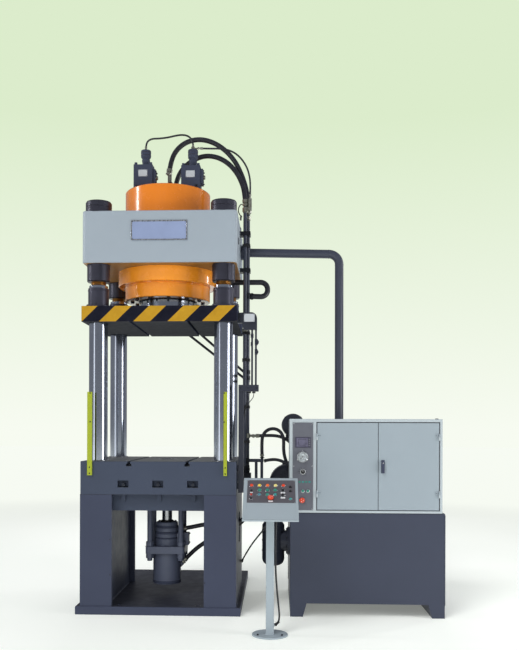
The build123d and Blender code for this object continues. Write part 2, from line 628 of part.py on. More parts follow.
def corner_radii(points):
    radii = []
    vectors = [Vector(*p) for p in points]
    for a, b, c in zip(vectors, vectors[1:], vectors[2:]):
        turn = (b - a).get_angle(c - b)
        shorter = min((b - a).length, (c - b).length)
        radii.append(0.45 * shorter / math.tan(math.radians(turn) / 2))
    return radii


HOSE_LINES = {}
for hose_name, (diameter, points) in HOSES.items():
    radii = corner_radii(points)
    runs = [(Vector(*b) - Vector(*a)).length for a, b in zip(points, points[1:])]
    ratio = max(max(p, q) / min(p, q) for p, q in zip(runs, runs[1:]))
    print(
        hose_name, "d", diameter, "runs", [round(r) for r in runs], "ratio", round(ratio, 2),
        "radii/d", [round(r / diameter, 1) for r in radii],
    )
    with BuildPart() as hose:
        with BuildLine() as path:
            FilletPolyline(*points, radius=radii)
        centre = path.wires()[0]
        with BuildSketch(Plane(origin=points[0], z_dir=centre % 0)):
            Circle(diameter / 2)
        sweep(path=centre)
    HOSE_LINES[hose_name] = (centre % 0, centre % 1)
    print("  length", round(centre.length), "volume", round(hose.part.volume), "expected", round(centre.length * math.pi * diameter**2 / 4))
    hose.part.label = hose_name
    export_step(hose.part, f"parts/{hose_name}.step")


# ends of the hoses: name, at the route's start or not, length of the fitting
HOSE_ENDS = (
    ("main_hose_front", True, 60), ("main_hose_front", False, 92), ("main_hose_rear", True, 60), ("main_hose_rear", False, 62),
    ("pilot_hose_left", True, 34), ("pilot_hose_left", False, 18), ("pilot_hose_right", True, 52), ("pilot_hose_right", False, 46),
    ("ejector_hose_upper", True, 60), ("ejector_hose_upper", False, 30), ("ejector_hose_lower", True, 50),
    ("ejector_hose_lower", False, 30), ("link_hose_high", True, 70), ("link_hose_high", False, 18),
    ("link_hose_arch", True, 38), ("link_hose_arch", False, 18), ("link_hose_low", True, 18), ("link_hose_low", False, 18),
)

with BuildPart() as hose_fittings:
    # a ferrule, a neck and a hexagon at each hose end, in line with the hose
    for hose_name, at_start, length in HOSE_ENDS:
        diameter, points = HOSES[hose_name]
        direction = HOSE_LINES[hose_name][0] * -1 if at_start else HOSE_LINES[hose_name][1]
        end = Vector(*(points[0] if at_start else points[-1]))
        ferrule = min(length * 0.45, diameter * 2.0)
        nut = min(length * 0.25, diameter)
        with BuildSketch(Plane(origin=end, z_dir=direction)):
            Circle(diameter / 2 + max(2.5, diameter * 0.1))
        extrude(amount=ferrule)
        with BuildSketch(Plane(origin=end + direction * ferrule, z_dir=direction)):
            Circle(diameter * 0.375)
        extrude(amount=length - ferrule)
        with BuildSketch(Plane(origin=end + direction * (ferrule + (length - ferrule - nut) * 0.6), z_dir=direction)):
            RegularPolygon(diameter * 0.65, 6)
        extrude(amount=nut)
    # main hoses on the cylinder's head
    for hose_name, x, y in (("main_hose_front", 14, 0), ("main_hose_rear", 52, 84)):
        top = HOSES[hose_name][1][0][2]
        with BuildSketch(Plane.XY.offset(CYL_TOP)):
            with Locations((x, y)):
                Circle(18)
        extrude(amount=top - CYL_TOP - 8)
        with BuildSketch(Plane.XY.offset(CYL_TOP)):
            with Locations((x, y)):
                RegularPolygon(30, 6)
        extrude(amount=34)
    # pilot line: cross piece on the right adapter and its side fitting
    with BuildSketch(Plane.XY.offset(4012)):
        with Locations((235, -105)):
            Rectangle(30, 26)
    extrude(amount=26)
    with BuildSketch(Plane.YZ.offset(250)):
        with Locations((-105, 4026)):
            Circle(7)
    extrude(amount=22)
    # pilot line's lower end: block on the first riser's clamp
    with BuildSketch(Plane.XY.offset(3490)):
        with Locations((740, -38)):
            Rectangle(28, 28)
    extrude(amount=106)
    with BuildSketch(Plane.XY.offset(3490)):
        with Locations((718, -34)):
            Rectangle(40, 18)
    extrude(amount=28)
    with BuildSketch(Plane.XY.offset(3490)):
        with Locations(RISER_1):
            Circle(RISER_R + 8)
            Circle(RISER_R, mode=Mode.SUBTRACT)
    extrude(amount=28)
    with BuildSketch(Plane.XY.offset(3490)):
        with Locations(RISER_1):
            Circle(RISER_R, mode=Mode.ADD)
    extrude(amount=28, mode=Mode.SUBTRACT)
    # return line: union on its end, stub and tee on the second riser
    with BuildSketch(Plane(origin=(765, RETURN_Y - 42, 2738), z_dir=bend_line % 1)):
        Circle(30)
    extrude(amount=18)
    with BuildSketch(Plane.XY.offset(2712)):
        with Locations(RISER_2):
            Circle(RISER_R + 8)
            Circle(RISER_R, mode=Mode.SUBTRACT)
    extrude(amount=52)
    # cylinder port of the return line
    with BuildSketch(Plane.YZ.offset(434.5)):
        with Locations((RETURN_Y, 2872)):
            Circle(RETURN_R)
    extrude(amount=10.5)
    # slim rear pipes: bosses on the crown's rear, collars and stubs on the second riser
    for x, z in REAR_LINES:
        with BuildSketch(Plane.XZ.offset(-CROWN_Y)):
            with Locations((x, 3010)):
                Circle(18)
        extrude(amount=-14)
        with BuildSketch(Plane.XZ.offset(-66)):
            with Locations((REAR_X, z)):
                Circle(16)
        extrude(amount=26)
        with BuildSketch(Plane.XY.offset(z - 18)):
            with Locations(RISER_2):
                Circle(RISER_R + 6)
        extrude(amount=36)
        with BuildSketch(Plane.XY.offset(z - 30)):
            with Locations(RISER_2):
                Circle(RISER_R)
        extrude(amount=60, mode=Mode.SUBTRACT)
    # clamps that hold the risers: on the crown's side and on the bed's side
    for z in (2942, 3270):
        with BuildSketch(Plane.XY.offset(z)):
            with Locations((697, 1)):
                Rectangle(94, 98)
            with Locations(RISER_1, RISER_2):
                Circle(RISER_R, mode=Mode.SUBTRACT)
        extrude(amount=34)
    # manifold on the bed's side, with the risers' lower fittings
    with BuildSketch(Plane.XY.offset(1060)):
        with Locations((702, 0)):
            Rectangle(104, 120)
    extrude(amount=90)
    for x, y in (RISER_1, RISER_2):
        with BuildSketch(Plane.XY.offset(1150)):
            with Locations((x, y)):
                Circle(20)
        extrude(amount=66)
        with BuildSketch(Plane.XY.offset(1168)):
            with Locations((x, y)):
                RegularPolygon(23, 6)
        extrude(amount=26)
    # high line: tee on the second riser
    with BuildSketch(Plane.XY.offset(1462)):
        with Locations(RISER_2):
            Circle(RISER_R + 6)
            Circle(RISER_R, mode=Mode.SUBTRACT)
    extrude(amount=42)
    with BuildSketch(Plane.YZ.offset(RISER_2[0] + RISER_R + 3)):
        with Locations((27, 1483)):
            Circle(11)
    extrude(amount=50)
    # cross line: tee on the risers
    with BuildSketch(Plane.XY.offset(1236)):
        with Locations((708, 1)):
            Rectangle(59, 76)
        with Locations(RISER_1, RISER_2):
            Circle(RISER_R, mode=Mode.SUBTRACT)
    extrude(amount=50)
    # ends of the arch and the low hose on the cross line
    with BuildSketch(Plane.XY.offset(1277)):
        with Locations((852, CROSS_Y)):
            Circle(12)
    extrude(amount=10)
    # manifold on the tank, behind the cabinet
    with BuildSketch(Plane.XY.offset(TANK_TOP)):
        with Locations((1180, 0)):
            Rectangle(160, 90)
    extrude(amount=125)
    for hose_name in ("link_hose_arch", "link_hose_high", "link_hose_low"):
        x, y, z = HOSES[hose_name][1][-1]
        with BuildSketch(Plane.XY.offset(TANK_TOP + 125)):
            with Locations((x, y)):
                Circle(16)
        extrude(amount=z - 14 - TANK_TOP - 125)
    # cable glands
    with BuildSketch(Plane.XY.offset(866)):
        with Locations((980, -1150)):
            Circle(12)
    extrude(amount=CON_BOTTOM - 866)
    with BuildSketch(Plane.XZ.offset(-CON_BACK)):
        with Locations((930, 938)):
            Circle(12)
    extrude(amount=-12)
    with BuildSketch(Plane.YZ.offset(LEG_OUT)):
        with Locations((185, 330)):
            Circle(14)
    extrude(amount=12)
hose_fittings.part.label = "hose_fittings"
export_step(hose_fittings.part, "parts/hose_fittings.step")

# -------------------------------------------------------------------- tank
with BuildPart() as tank:
    with BuildSketch(Plane.XZ.offset(-TANK_Y0)):
        with BuildLine():
            Polyline(
                (TANK_X0, 0), (TANK_X0 + 104, 0), (TANK_X0 + 135, TANK_FOOT), (TANK_X1 - 134, TANK_FOOT),
                (TANK_X1 - 102, 0), (TANK_X1, 0), (TANK_X1, TANK_TOP), (TANK_X0, TANK_TOP), close=True,
            )
        make_face()
    extrude(amount=-(TANK_Y1 - TANK_Y0))
    with BuildSketch(Plane.XY.offset(TANK_FOOT + 8)):
        with Locations(((TANK_X0 + TANK_X1) / 2, (TANK_Y0 + TANK_Y1) / 2)):
            Rectangle(TANK_X1 - TANK_X0 - 16, TANK_Y1 - TANK_Y0 - 16)
    extrude(amount=TANK_TOP - TANK_FOOT - 16, mode=Mode.SUBTRACT)
    # return line opening under the prefill pipe
    with BuildSketch(Plane.XY.offset(TANK_TOP - 20)):
        with Locations((PRE_X, PRE_Y)):
            Circle(PRE_RI)
    extrude(amount=40, mode=Mode.SUBTRACT)
tank.part.label = "tank"
export_step(tank.part, "parts/tank.step")

# ----------------------------------------------------------------- cabinet
with BuildPart() as cabinet:
    with BuildSketch(Plane.XY.offset(TANK_TOP)):
        with Locations(((CAB_X0 + CAB_X1) / 2, (CAB_Y0 + CAB_Y1) / 2)):
            Rectangle(CAB_X1 - CAB_X0, CAB_Y1 - CAB_Y0)
    extrude(amount=CAB_TOP - TANK_TOP)
    with BuildSketch(Plane.XY.offset(TANK_TOP + CAB_T)):
        with Locations(((CAB_X0 + CAB_X1) / 2, (CAB_Y0 + CAB_Y1) / 2)):
            Rectangle(CAB_X1 - CAB_X0 - 2 * CAB_T, CAB_Y1 - CAB_Y0 - 2 * CAB_T)
    extrude(amount=CAB_TOP - TANK_TOP - 2 * CAB_T, mode=Mode.SUBTRACT)
    with BuildSketch(Plane.XZ.offset(-CAB_Y0)):
        for x0, x1 in ((LDOOR_X0, LDOOR_X1), (RDOOR_X0, RDOOR_X1)):
            with Locations(((x0 + x1) / 2, (DOOR_Z0 + DOOR_Z1) / 2)):
                Rectangle(x1 - x0 + 2 * DOOR_GAP + 0.5, DOOR_Z1 - DOOR_Z0 + 2 * DOOR_GAP)
        # holes of the knob and the stop button
        with Locations((1198, 1193)):
            Circle(5 + RUN)
        with Locations((1192, 959)):
            Circle(STEM_R + RUN)
    extrude(amount=-CAB_T - 1, mode=Mode.SUBTRACT)
    # door hinges: lower knuckle with the pin, and its leaf
    for x, side in ((LDOOR_X0 - 2, -1), (RDOOR_X1 + 2, 1)):
        for z in HINGE_Z:
            with BuildSketch(Plane.XY.offset(z - 26)):
                with Locations((x, CAB_Y0 - HINGE_OUT)):
                    Circle(HINGE_R)
                with Locations((x + side * 12, CAB_Y0 - 1.5)):
                    Rectangle(24, 3)
                with Locations((x + side * 2, CAB_Y0 - 3.5)):
                    Rectangle(8, 7)
            extrude(amount=25.5)
            with BuildSketch(Plane.XY.offset(z - 26)):
                with Locations((x, CAB_Y0 - HINGE_OUT)):
                    Circle(PIN_R)
            extrude(amount=54)
cabinet.part.label = "cabinet"
export_step(cabinet.part, "parts/cabinet.step")

with BuildPart() as left_door:
    with BuildSketch(Plane.XZ.offset(-CAB_Y0)):
        with Locations(((LDOOR_X0 + LDOOR_X1) / 2, (DOOR_Z0 + DOOR_Z1) / 2)):
            Rectangle(LDOOR_X1 - LDOOR_X0, DOOR_Z1 - DOOR_Z0)
    extrude(amount=-DOOR_D)
    with BuildSketch(Plane.XZ.offset(-CAB_Y0 - DOOR_T)):
        with Locations(((LDOOR_X0 + LDOOR_X1) / 2, (DOOR_Z0 + DOOR_Z1) / 2)):
            Rectangle(LDOOR_X1 - LDOOR_X0 - 2 * DOOR_T, DOOR_Z1 - DOOR_Z0 - 2 * DOOR_T)
    extrude(amount=-DOOR_D, mode=Mode.SUBTRACT)
    for z in HINGE_Z:
        with BuildSketch(Plane.XY.offset(z)):
            with Locations((LDOOR_X0 - 2, CAB_Y0 - HINGE_OUT)):
                Circle(HINGE_R)
            with Locations((LDOOR_X0 + 14, CAB_Y0 - 1.5)):
                Rectangle(28, 3)
            with Locations((LDOOR_X0 - 2 + 4, CAB_Y0 - HINGE_OUT + 3.5)):
                Rectangle(8, 7)
            with Locations((LDOOR_X0 - 2, CAB_Y0 - HINGE_OUT)):
                Circle(PIN_R + RUN, mode=Mode.SUBTRACT)
        extrude(amount=26)
left_door.part.label = "left_door"
export_step(left_door.part, "parts/left_door.step")

HANDLE_X, HANDLE_Z, HANDLE_PIN = 1852.0, 1268.0, 8.0
with BuildPart() as right_door:
    with BuildSketch(Plane.XZ.offset(-CAB_Y0)):
        with Locations(((RDOOR_X0 + RDOOR_X1) / 2, (DOOR_Z0 + DOOR_Z1) / 2)):
            Rectangle(RDOOR_X1 - RDOOR_X0, DOOR_Z1 - DOOR_Z0)
    extrude(amount=-DOOR_D)
    with BuildSketch(Plane.XZ.offset(-CAB_Y0 - DOOR_T)):
        with Locations(((RDOOR_X0 + RDOOR_X1) / 2, (DOOR_Z0 + DOOR_Z1) / 2)):
            Rectangle(RDOOR_X1 - RDOOR_X0 - 2 * DOOR_T, DOOR_Z1 - DOOR_Z0 - 2 * DOOR_T)
    extrude(amount=-DOOR_D, mode=Mode.SUBTRACT)
    # bearing for the handle's shaft
    with BuildSketch(Plane.XZ.offset(-CAB_Y0 - DOOR_T)):
        with Locations((HANDLE_X, HANDLE_Z)):
            Circle(16)
    extrude(amount=-14)
    with BuildSketch(Plane.XZ.offset(-CAB_Y0)):
        with Locations((HANDLE_X, HANDLE_Z)):
            Circle(HANDLE_PIN + RUN)
    extrude(amount=-30, mode=Mode.SUBTRACT)
    for z in HINGE_Z:
        with BuildSketch(Plane.XY.offset(z)):
            with Locations((RDOOR_X1 + 2, CAB_Y0 - HINGE_OUT)):
                Circle(HINGE_R)
            with Locations((RDOOR_X1 - 14, CAB_Y0 - 1.5)):
                Rectangle(28, 3)
            with Locations((RDOOR_X1 + 2 - 4, CAB_Y0 - HINGE_OUT + 3.5)):
                Rectangle(8, 7)
            with Locations((RDOOR_X1 + 2, CAB_Y0 - HINGE_OUT)):
                Circle(PIN_R + RUN, mode=Mode.SUBTRACT)
        extrude(amount=26)
right_door.part.label = "right_door"
export_step(right_door.part, "parts/right_door.step")

with BuildPart() as door_handle:
    # shaft through the door, boss, and the hanging grip
    with BuildSketch(Plane.XZ.offset(-CAB_Y0 - 30)):
        with Locations((HANDLE_X, HANDLE_Z)):
            Circle(HANDLE_PIN)
    extrude(amount=32)
    with BuildSketch(Plane.XZ.offset(-CAB_Y0 + 2)):
        with Locations((HANDLE_X, HANDLE_Z)):
            Circle(14)
    extrude(amount=20)
    with BuildSketch(Plane.XZ.offset(-CAB_Y0 + 10)):
        with Locations((HANDLE_X, HANDLE_Z - 30)):
            SlotOverall(104, 20, rotation=90)
    extrude(amount=18)
    fillet(door_handle.faces().sort_by(Axis.Y)[0].edges(), 2)
    # cam behind the bearing
    with BuildSketch(Plane.XZ.offset(-CAB_Y0 - 27)):
        with Locations((HANDLE_X, HANDLE_Z - 14)):
            Rectangle(18, 50)
    extrude(amount=5)
door_handle.part.label = "door_handle"
export_step(door_handle.part, "parts/door_handle.step")

with BuildPart() as switchgear:
    # mounting plate on the rear wall, two rails and rows of devices
    with BuildSketch(Plane.XZ.offset(-CAB_Y1 + CAB_T)):
        with Locations(((1340 + 2290) / 2, 1240)):
            Rectangle(950, 660)
    extrude(amount=3)
    for z in (1470, 1250, 1030):
        with BuildSketch(Plane.XZ.offset(-CAB_Y1 + CAB_T + 3)):
            with Locations(((1340 + 2290) / 2, z)):
                Rectangle(900, 35)
        extrude(amount=8)
    for z, widths in (
        (1470, (72, 54, 54, 90, 36, 36, 72, 108, 54)),
        (1250, (90, 90, 90, 72, 72, 72, 54, 54)),
        (1030, (140, 110, 36, 36, 36, 36, 36, 36, 110)),
    ):
        x = 1380.0
        for width in widths:
            with BuildSketch(Plane.XZ.offset(-CAB_Y1 + CAB_T + 11)):
                with Locations((x + width / 2, z)):
                    Rectangle(width - 4, 84)
            extrude(amount=66)
            x += width + 12
switchgear.part.label = "switchgear"
export_step(switchgear.part, "parts/switchgear.step")

with BuildPart() as gauge:
    with BuildSketch(Plane.XZ.offset(-CAB_Y0)):
        with Locations((1195, 1316)):
            Circle(45)
    extrude(amount=26)
    fillet(gauge.faces().sort_by(Axis.Y)[0].edges(), 3)
    with BuildSketch(Plane.XZ.offset(-CAB_Y0 + 26)):
        with Locations((1195, 1316)):
            Circle(39)
    extrude(amount=-14, mode=Mode.SUBTRACT)
    with BuildSketch(Plane.XZ.offset(-CAB_Y0 + 12)):
        with Locations((1195, 1316)):
            Circle(2)
    extrude(amount=8)
gauge.part.label = "gauge"
export_step(gauge.part, "parts/gauge.step")

with BuildPart() as gauge_needle:
    with BuildSketch(Plane.XZ.offset(-CAB_Y0 + 14)):
        with Locations((1195, 1316)):
            Circle(5)
        with Locations((1195 - 11, 1316 - 11)):
            Rectangle(34, 2.4, rotation=45)
        with Locations((1195, 1316)):
            Circle(2 + RUN, mode=Mode.SUBTRACT)
    extrude(amount=3)
gauge_needle.part.label = "gauge_needle"
export_step(gauge_needle.part, "parts/gauge_needle.step")

with BuildPart() as strip_knob:
    with BuildSketch(Plane.XZ.offset(-CAB_Y0 - 24)):
        with Locations((1198, 1193)):
            Circle(5)
    extrude(amount=26)
    with BuildSketch(Plane.XZ.offset(-CAB_Y0 + 2)):
        with Locations((1198, 1193)):
            Circle(17)
    extrude(amount=20, taper=4)
    fillet(strip_knob.faces().sort_by(Axis.Y)[0].edges(), 2)
strip_knob.part.label = "strip_knob"
export_step(strip_knob.part, "parts/strip_knob.step")

with BuildPart() as strip_estop:
    with BuildSketch(Plane.XZ.offset(-CAB_Y0 - 24)):
        with Locations((1192, 959)):
            Circle(STEM_R)
    extrude(amount=34)
    with BuildSketch(Plane.XZ.offset(-CAB_Y0 + 10)):
        with Locations((1192, 959)):
            Circle(22)
    extrude(amount=14)
    fillet(strip_estop.faces().sort_by(Axis.Y)[0].edges(), 6)
strip_estop.part.label = "strip_estop"
export_step(strip_estop.part, "parts/strip_estop.step")

# ---------------------------------------------------------- motors and pump
MOTOR_X, MOTOR_Z, MOTOR_R, MOTOR_Y0, MOTOR_Y1 = 1085.0, 1058.0, 168.0, 66.0, 330.0
PUMP_R = 78.0
with BuildPart() as main_motor:
    with BuildSketch(Plane.XZ.offset(-MOTOR_Y0)):
        with Locations((MOTOR_X, MOTOR_Z)):
            Circle(MOTOR_R)
    extrude(amount=-(MOTOR_Y1 - MOTOR_Y0))
    fillet(main_motor.faces().sort_by(Axis.Y)[0].edges(), 40)
    # bed plate and feet
    with BuildSketch(Plane.XY.offset(TANK_TOP)):
        with Locations((1090, (MOTOR_Y0 + 532) / 2 + 10)):
            Rectangle(250, 532 - MOTOR_Y0 - 20)
    extrude(amount=20)
    with BuildSketch(Plane.XY.offset(TANK_TOP + 20)):
        for x in (MOTOR_X - 95, MOTOR_X + 95):
            with Locations((x, (MOTOR_Y0 + MOTOR_Y1) / 2 + 20)):
                Rectangle(44, 180)
    extrude(amount=80)
    # shaft bore
    with BuildSketch(Plane.XZ.offset(-MOTOR_Y1)):
        with Locations((MOTOR_X, MOTOR_Z)):
            Circle(22 + RUN)
    extrude(amount=70, mode=Mode.SUBTRACT)
    # pump pedestal
    with BuildSketch(Plane.XY.offset(TANK_TOP + 20)):
        with Locations((MOTOR_X, 470)):
            Rectangle(120, 80)
    extrude(amount=MOTOR_Z - PUMP_R - TANK_TOP - 20)
main_motor.part.label = "main_motor"
export_step(main_motor.part, "parts/main_motor.step")

with BuildPart() as drive_coupling:
    with BuildSketch(Plane.XZ.offset(-MOTOR_Y1 + 64)):
        with Locations((MOTOR_X, MOTOR_Z)):
            Circle(22)
    extrude(amount=-190)
    with BuildSketch(Plane.XZ.offset(-MOTOR_Y1 - 14)):
        with Locations((MOTOR_X, MOTOR_Z)):
            Circle(48)
    extrude(amount=-54)
drive_coupling.part.label = "drive_coupling"
export_step(drive_coupling.part, "parts/drive_coupling.step")

with BuildPart() as main_pump:
    with BuildSketch(Plane.XZ.offset(-412)):
        with Locations((MOTOR_X, MOTOR_Z)):
            Circle(PUMP_R)
    extrude(amount=-115)
    chamfer(main_pump.faces().filter_by(Axis.Y).edges(), 6)
    with BuildSketch(Plane.XZ.offset(-412)):
        with Locations((MOTOR_X, MOTOR_Z)):
            Circle(22 + RUN)
    extrude(amount=-60, mode=Mode.SUBTRACT)
main_pump.part.label = "main_pump"
export_step(main_pump.part, "parts/main_pump.step")

PILOT_X, PILOT_Z, PILOT_R = 1131.0, 1580.0, 105.0
with BuildPart() as pilot_motor:
    with BuildSketch(Plane.XZ.offset(-110)):
        with Locations((PILOT_X, PILOT_Z)):
            Circle(PILOT_R)
    extrude(amount=-200)
    fillet(pilot_motor.faces().sort_by(Axis.Y)[0].edges(), 14)
    with BuildSketch(Plane.XY.offset(TANK_TOP + 20)):
        with Locations((PILOT_X + 175, 210)):
            Rectangle(60, 120)
    extrude(amount=600)
    with BuildSketch(Plane.XY.offset(TANK_TOP)):
        with Locations((PILOT_X + 175, 210)):
            Rectangle(120, 180)
    extrude(amount=20)
    with BuildSketch(Plane.XY.offset(PILOT_Z - PILOT_R - 20)):
        with Locations((PILOT_X + 70, 210)):
            Rectangle(270, 120)
    extrude(amount=30)
pilot_motor.part.label = "pilot_motor"
export_step(pilot_motor.part, "parts/pilot_motor.step")

with BuildPart() as suction_filter:
    with BuildSketch(Plane(origin=(955, -100, 0), x_dir=(1, 0, 0), z_dir=(0, -1, 0))):
        with BuildLine():
            Line((0, 344), (40, 344))
            ThreePointArc((40, 344), (82, 366), (98, 412))
            Polyline((98, 412), (98, 700), (78, 730), (78, 790), (0, 790), (0, 344))
        make_face()
    revolve(axis=Axis((955, -100, 0), (0, 0, 1)))
    with BuildSketch(Plane.YZ.offset(1020)):
        with Locations((-100, 560)):
            Circle(92)
    extrude(amount=57)
    with BuildSketch(Plane.YZ.offset(1077)):
        with Locations((-100, 560)):
            Circle(122)
    extrude(amount=20)
suction_filter.part.label = "suction_filter"
export_step(suction_filter.part, "parts/suction_filter.step")

# ----------------------------------------------------------------- console
with BuildPart() as console_stand:
    with BuildSketch():
        with Locations((POST_X, POST_Y)):
            Circle(DISC_R)
    extrude(amount=DISC_T)
    chamfer(console_stand.faces().sort_by(Axis.Z)[-1].edges(), 4)
    with BuildSketch(Plane.XY.offset(DISC_T)):
        with Locations((POST_X, POST_Y)):
            RectangleRounded(POST_A, POST_A, 6)
            RectangleRounded(POST_A - 8, POST_A - 8, 3, mode=Mode.SUBTRACT)
    extrude(amount=CON_BOTTOM - DISC_T)
    # cable entry boss near the foot
    with BuildSketch(Plane.YZ.offset(POST_X + POST_A / 2)):
        with Locations((POST_Y, 76)):
            Circle(12)
    extrude(amount=6)
console_stand.part.label = "console_stand"
export_step(console_stand.part, "parts/console_stand.step")

LAMPS = ((796, 370), (855, 370), (915, 370), (974, 370), (1033, 370), (1086, 357), (796, 306), (1086, 311),
         (795, 266), (795, 222), (1085, 220), (855, 267), (914, 267), (973, 267))
BUTTONS = ((857, 315), (915, 315), (972, 315))
SELECTORS = ((1029, 314), (1029, 258))
ESTOP = (939, 223)
with BuildPart() as console_box:
    with BuildSketch(Plane.YZ.offset(CON_X - CON_HALF)):
        with BuildLine():
            Polyline(
                (CON_YB, CON_BOTTOM), (CON_YB, CON_ZB), (CON_YT, CON_ZT), (CON_BACK, CON_ZT),
                (CON_BACK, CON_BOTTOM), close=True,
            )
        make_face()
    extrude(amount=2 * CON_HALF)
    with BuildSketch(Plane.YZ.offset(CON_X - CON_HALF + CON_T)):
        with BuildLine():
            slope = math.atan2(CON_ZT - CON_ZB, CON_YT - CON_YB)
            drop = CON_T / math.cos(slope)
            Polyline(
                (CON_YB + CON_T + 8, CON_BOTTOM + CON_T),
                (CON_YB + CON_T + 8, CON_ZB + 12 * math.tan(slope) - drop),
                (CON_YT + 2, CON_ZT - CON_T - 0.5),
                (CON_BACK - CON_T, CON_ZT - CON_T - 0.5), (CON_BACK - CON_T, CON_BOTTOM + CON_T), close=True,
            )
        make_face()
    extrude(amount=2 * CON_HALF - 2 * CON_T, mode=Mode.SUBTRACT)
    for u, v in BUTTONS + SELECTORS + (ESTOP,):
        with BuildSketch(sloped(u, v).offset(-12)):
            Circle(STEM_R + RUN)
        extrude(amount=24, mode=Mode.SUBTRACT)
console_box.part.label = "console_box"
export_step(console_box.part, "parts/console_box.step")

with BuildPart() as signal_lamps:
    for u, v in LAMPS:
        with BuildSketch(sloped(u, v)):
            Circle(CTRL_R - 1)
        extrude(amount=11, taper=6)
    with BuildSketch(Plane.XZ.offset(-CAB_Y0)):
        with Locations((1198, 1035), (1240, 1035)):
            Circle(11)
    extrude(amount=11, taper=6)
signal_lamps.part.label = "signal_lamps"
export_step(signal_lamps.part, "parts/signal_lamps.step")

with BuildPart() as console_estop:
    with BuildSketch(sloped(*ESTOP).offset(-26)):
        Circle(STEM_R)
    extrude(amount=36)
    with BuildSketch(sloped(*ESTOP).offset(10)):
        Circle(21)
    extrude(amount=15)
    fillet(console_estop.edges().filter_by(GeomType.CIRCLE).sort_by(Axis((0, ESTOP[1], 0), sloped(*ESTOP).z_dir))[-1], 6)
console_estop.part.label = "console_estop"
export_step(console_estop.part, "parts/console_estop.step")

with BuildPart() as selector_upper:
    with BuildSketch(sloped(*SELECTORS[0]).offset(-26)):
        Circle(STEM_R)
    extrude(amount=28)
    with BuildSketch(sloped(*SELECTORS[0]).offset(2)):
        Circle(CTRL_R)
    extrude(amount=7)
    with BuildSketch(sloped(*SELECTORS[0]).offset(9)):
        Rectangle(8, 23)
    extrude(amount=10)
selector_upper.part.label = "selector_upper"
export_step(selector_upper.part, "parts/selector_upper.step")

with BuildPart() as selector_lower:
    with BuildSketch(sloped(*SELECTORS[1]).offset(-26)):
        Circle(STEM_R)
    extrude(amount=28)
    with BuildSketch(sloped(*SELECTORS[1]).offset(2)):
        Circle(CTRL_R)
    extrude(amount=7)
    with BuildSketch(sloped(*SELECTORS[1]).offset(9)):
        Rectangle(8, 23)
    extrude(amount=10)
selector_lower.part.label = "selector_lower"
export_step(selector_lower.part, "parts/selector_lower.step")

with BuildPart() as button_1:
    with BuildSketch(sloped(*BUTTONS[0]).offset(-26)):
        Circle(STEM_R)
    extrude(amount=32)
    with BuildSketch(sloped(*BUTTONS[0]).offset(6)):
        Circle(CTRL_R)
    extrude(amount=7)
button_1.part.label = "button_1"
export_step(button_1.part, "parts/button_1.step")

with BuildPart() as button_2:
    with BuildSketch(sloped(*BUTTONS[1]).offset(-26)):
        Circle(STEM_R)
    extrude(amount=32)
    with BuildSketch(sloped(*BUTTONS[1]).offset(6)):
        Circle(CTRL_R)
    extrude(amount=7)
button_2.part.label = "button_2"
export_step(button_2.part, "parts/button_2.step")

with BuildPart() as button_3:
    with BuildSketch(sloped(*BUTTONS[2]).offset(-26)):
        Circle(STEM_R)
    extrude(amount=32)
    with BuildSketch(sloped(*BUTTONS[2]).offset(6)):
        Circle(CTRL_R)
    extrude(amount=7)
button_3.part.label = "button_3"
export_step(button_3.part, "parts/button_3.step")
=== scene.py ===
import math

import bmesh
import bpy
from mathutils import Matrix, Vector


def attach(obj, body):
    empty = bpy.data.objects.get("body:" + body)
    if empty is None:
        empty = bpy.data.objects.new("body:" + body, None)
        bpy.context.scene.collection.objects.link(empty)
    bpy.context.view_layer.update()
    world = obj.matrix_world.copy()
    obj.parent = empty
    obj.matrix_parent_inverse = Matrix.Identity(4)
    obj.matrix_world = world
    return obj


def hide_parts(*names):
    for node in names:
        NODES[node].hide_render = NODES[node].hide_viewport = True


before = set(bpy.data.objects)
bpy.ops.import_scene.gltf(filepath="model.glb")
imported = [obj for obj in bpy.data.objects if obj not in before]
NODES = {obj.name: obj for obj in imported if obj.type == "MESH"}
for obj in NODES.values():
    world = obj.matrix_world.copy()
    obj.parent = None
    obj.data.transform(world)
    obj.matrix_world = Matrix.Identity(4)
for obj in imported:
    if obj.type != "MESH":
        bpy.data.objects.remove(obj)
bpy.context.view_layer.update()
SCENE = bpy.context.scene
MM = 0.001

# ------------------------------------------------------------------ camera
camera_data = bpy.data.cameras.new("camera")
camera_data.lens = 44.04
camera_data.sensor_width = 36.0
camera_data.sensor_fit = "AUTO"
camera_data.shift_x = 0.0303
camera_data.shift_y = 0.1593
camera_data.clip_end = 200
camera = bpy.data.objects.new("camera", camera_data)
camera.location = (0.9806, -7.1231, 1.5471)
camera.rotation_euler = (math.radians(90), -0.0029, math.radians(2.643))
SCENE.collection.objects.link(camera)
SCENE.camera = camera
SCENE.view_settings.view_transform = "Standard"
SCENE.view_settings.look = "None"


# --------------------------------------------------------------- materials
def rgb(r, g, b):
    """A colour given as it looks on a screen, 0 to 255, as the shader wants it."""
    out = []
    for v in (r, g, b):
        v /= 255
        out.append(v / 12.92 if v <= 0.04045 else ((v + 0.055) / 1.055) ** 2.4)
    return (*out, 1.0)


def shade(colour, by):
    return (min(1, colour[0] * by), min(1, colour[1] * by), min(1, colour[2] * by), 1.0)


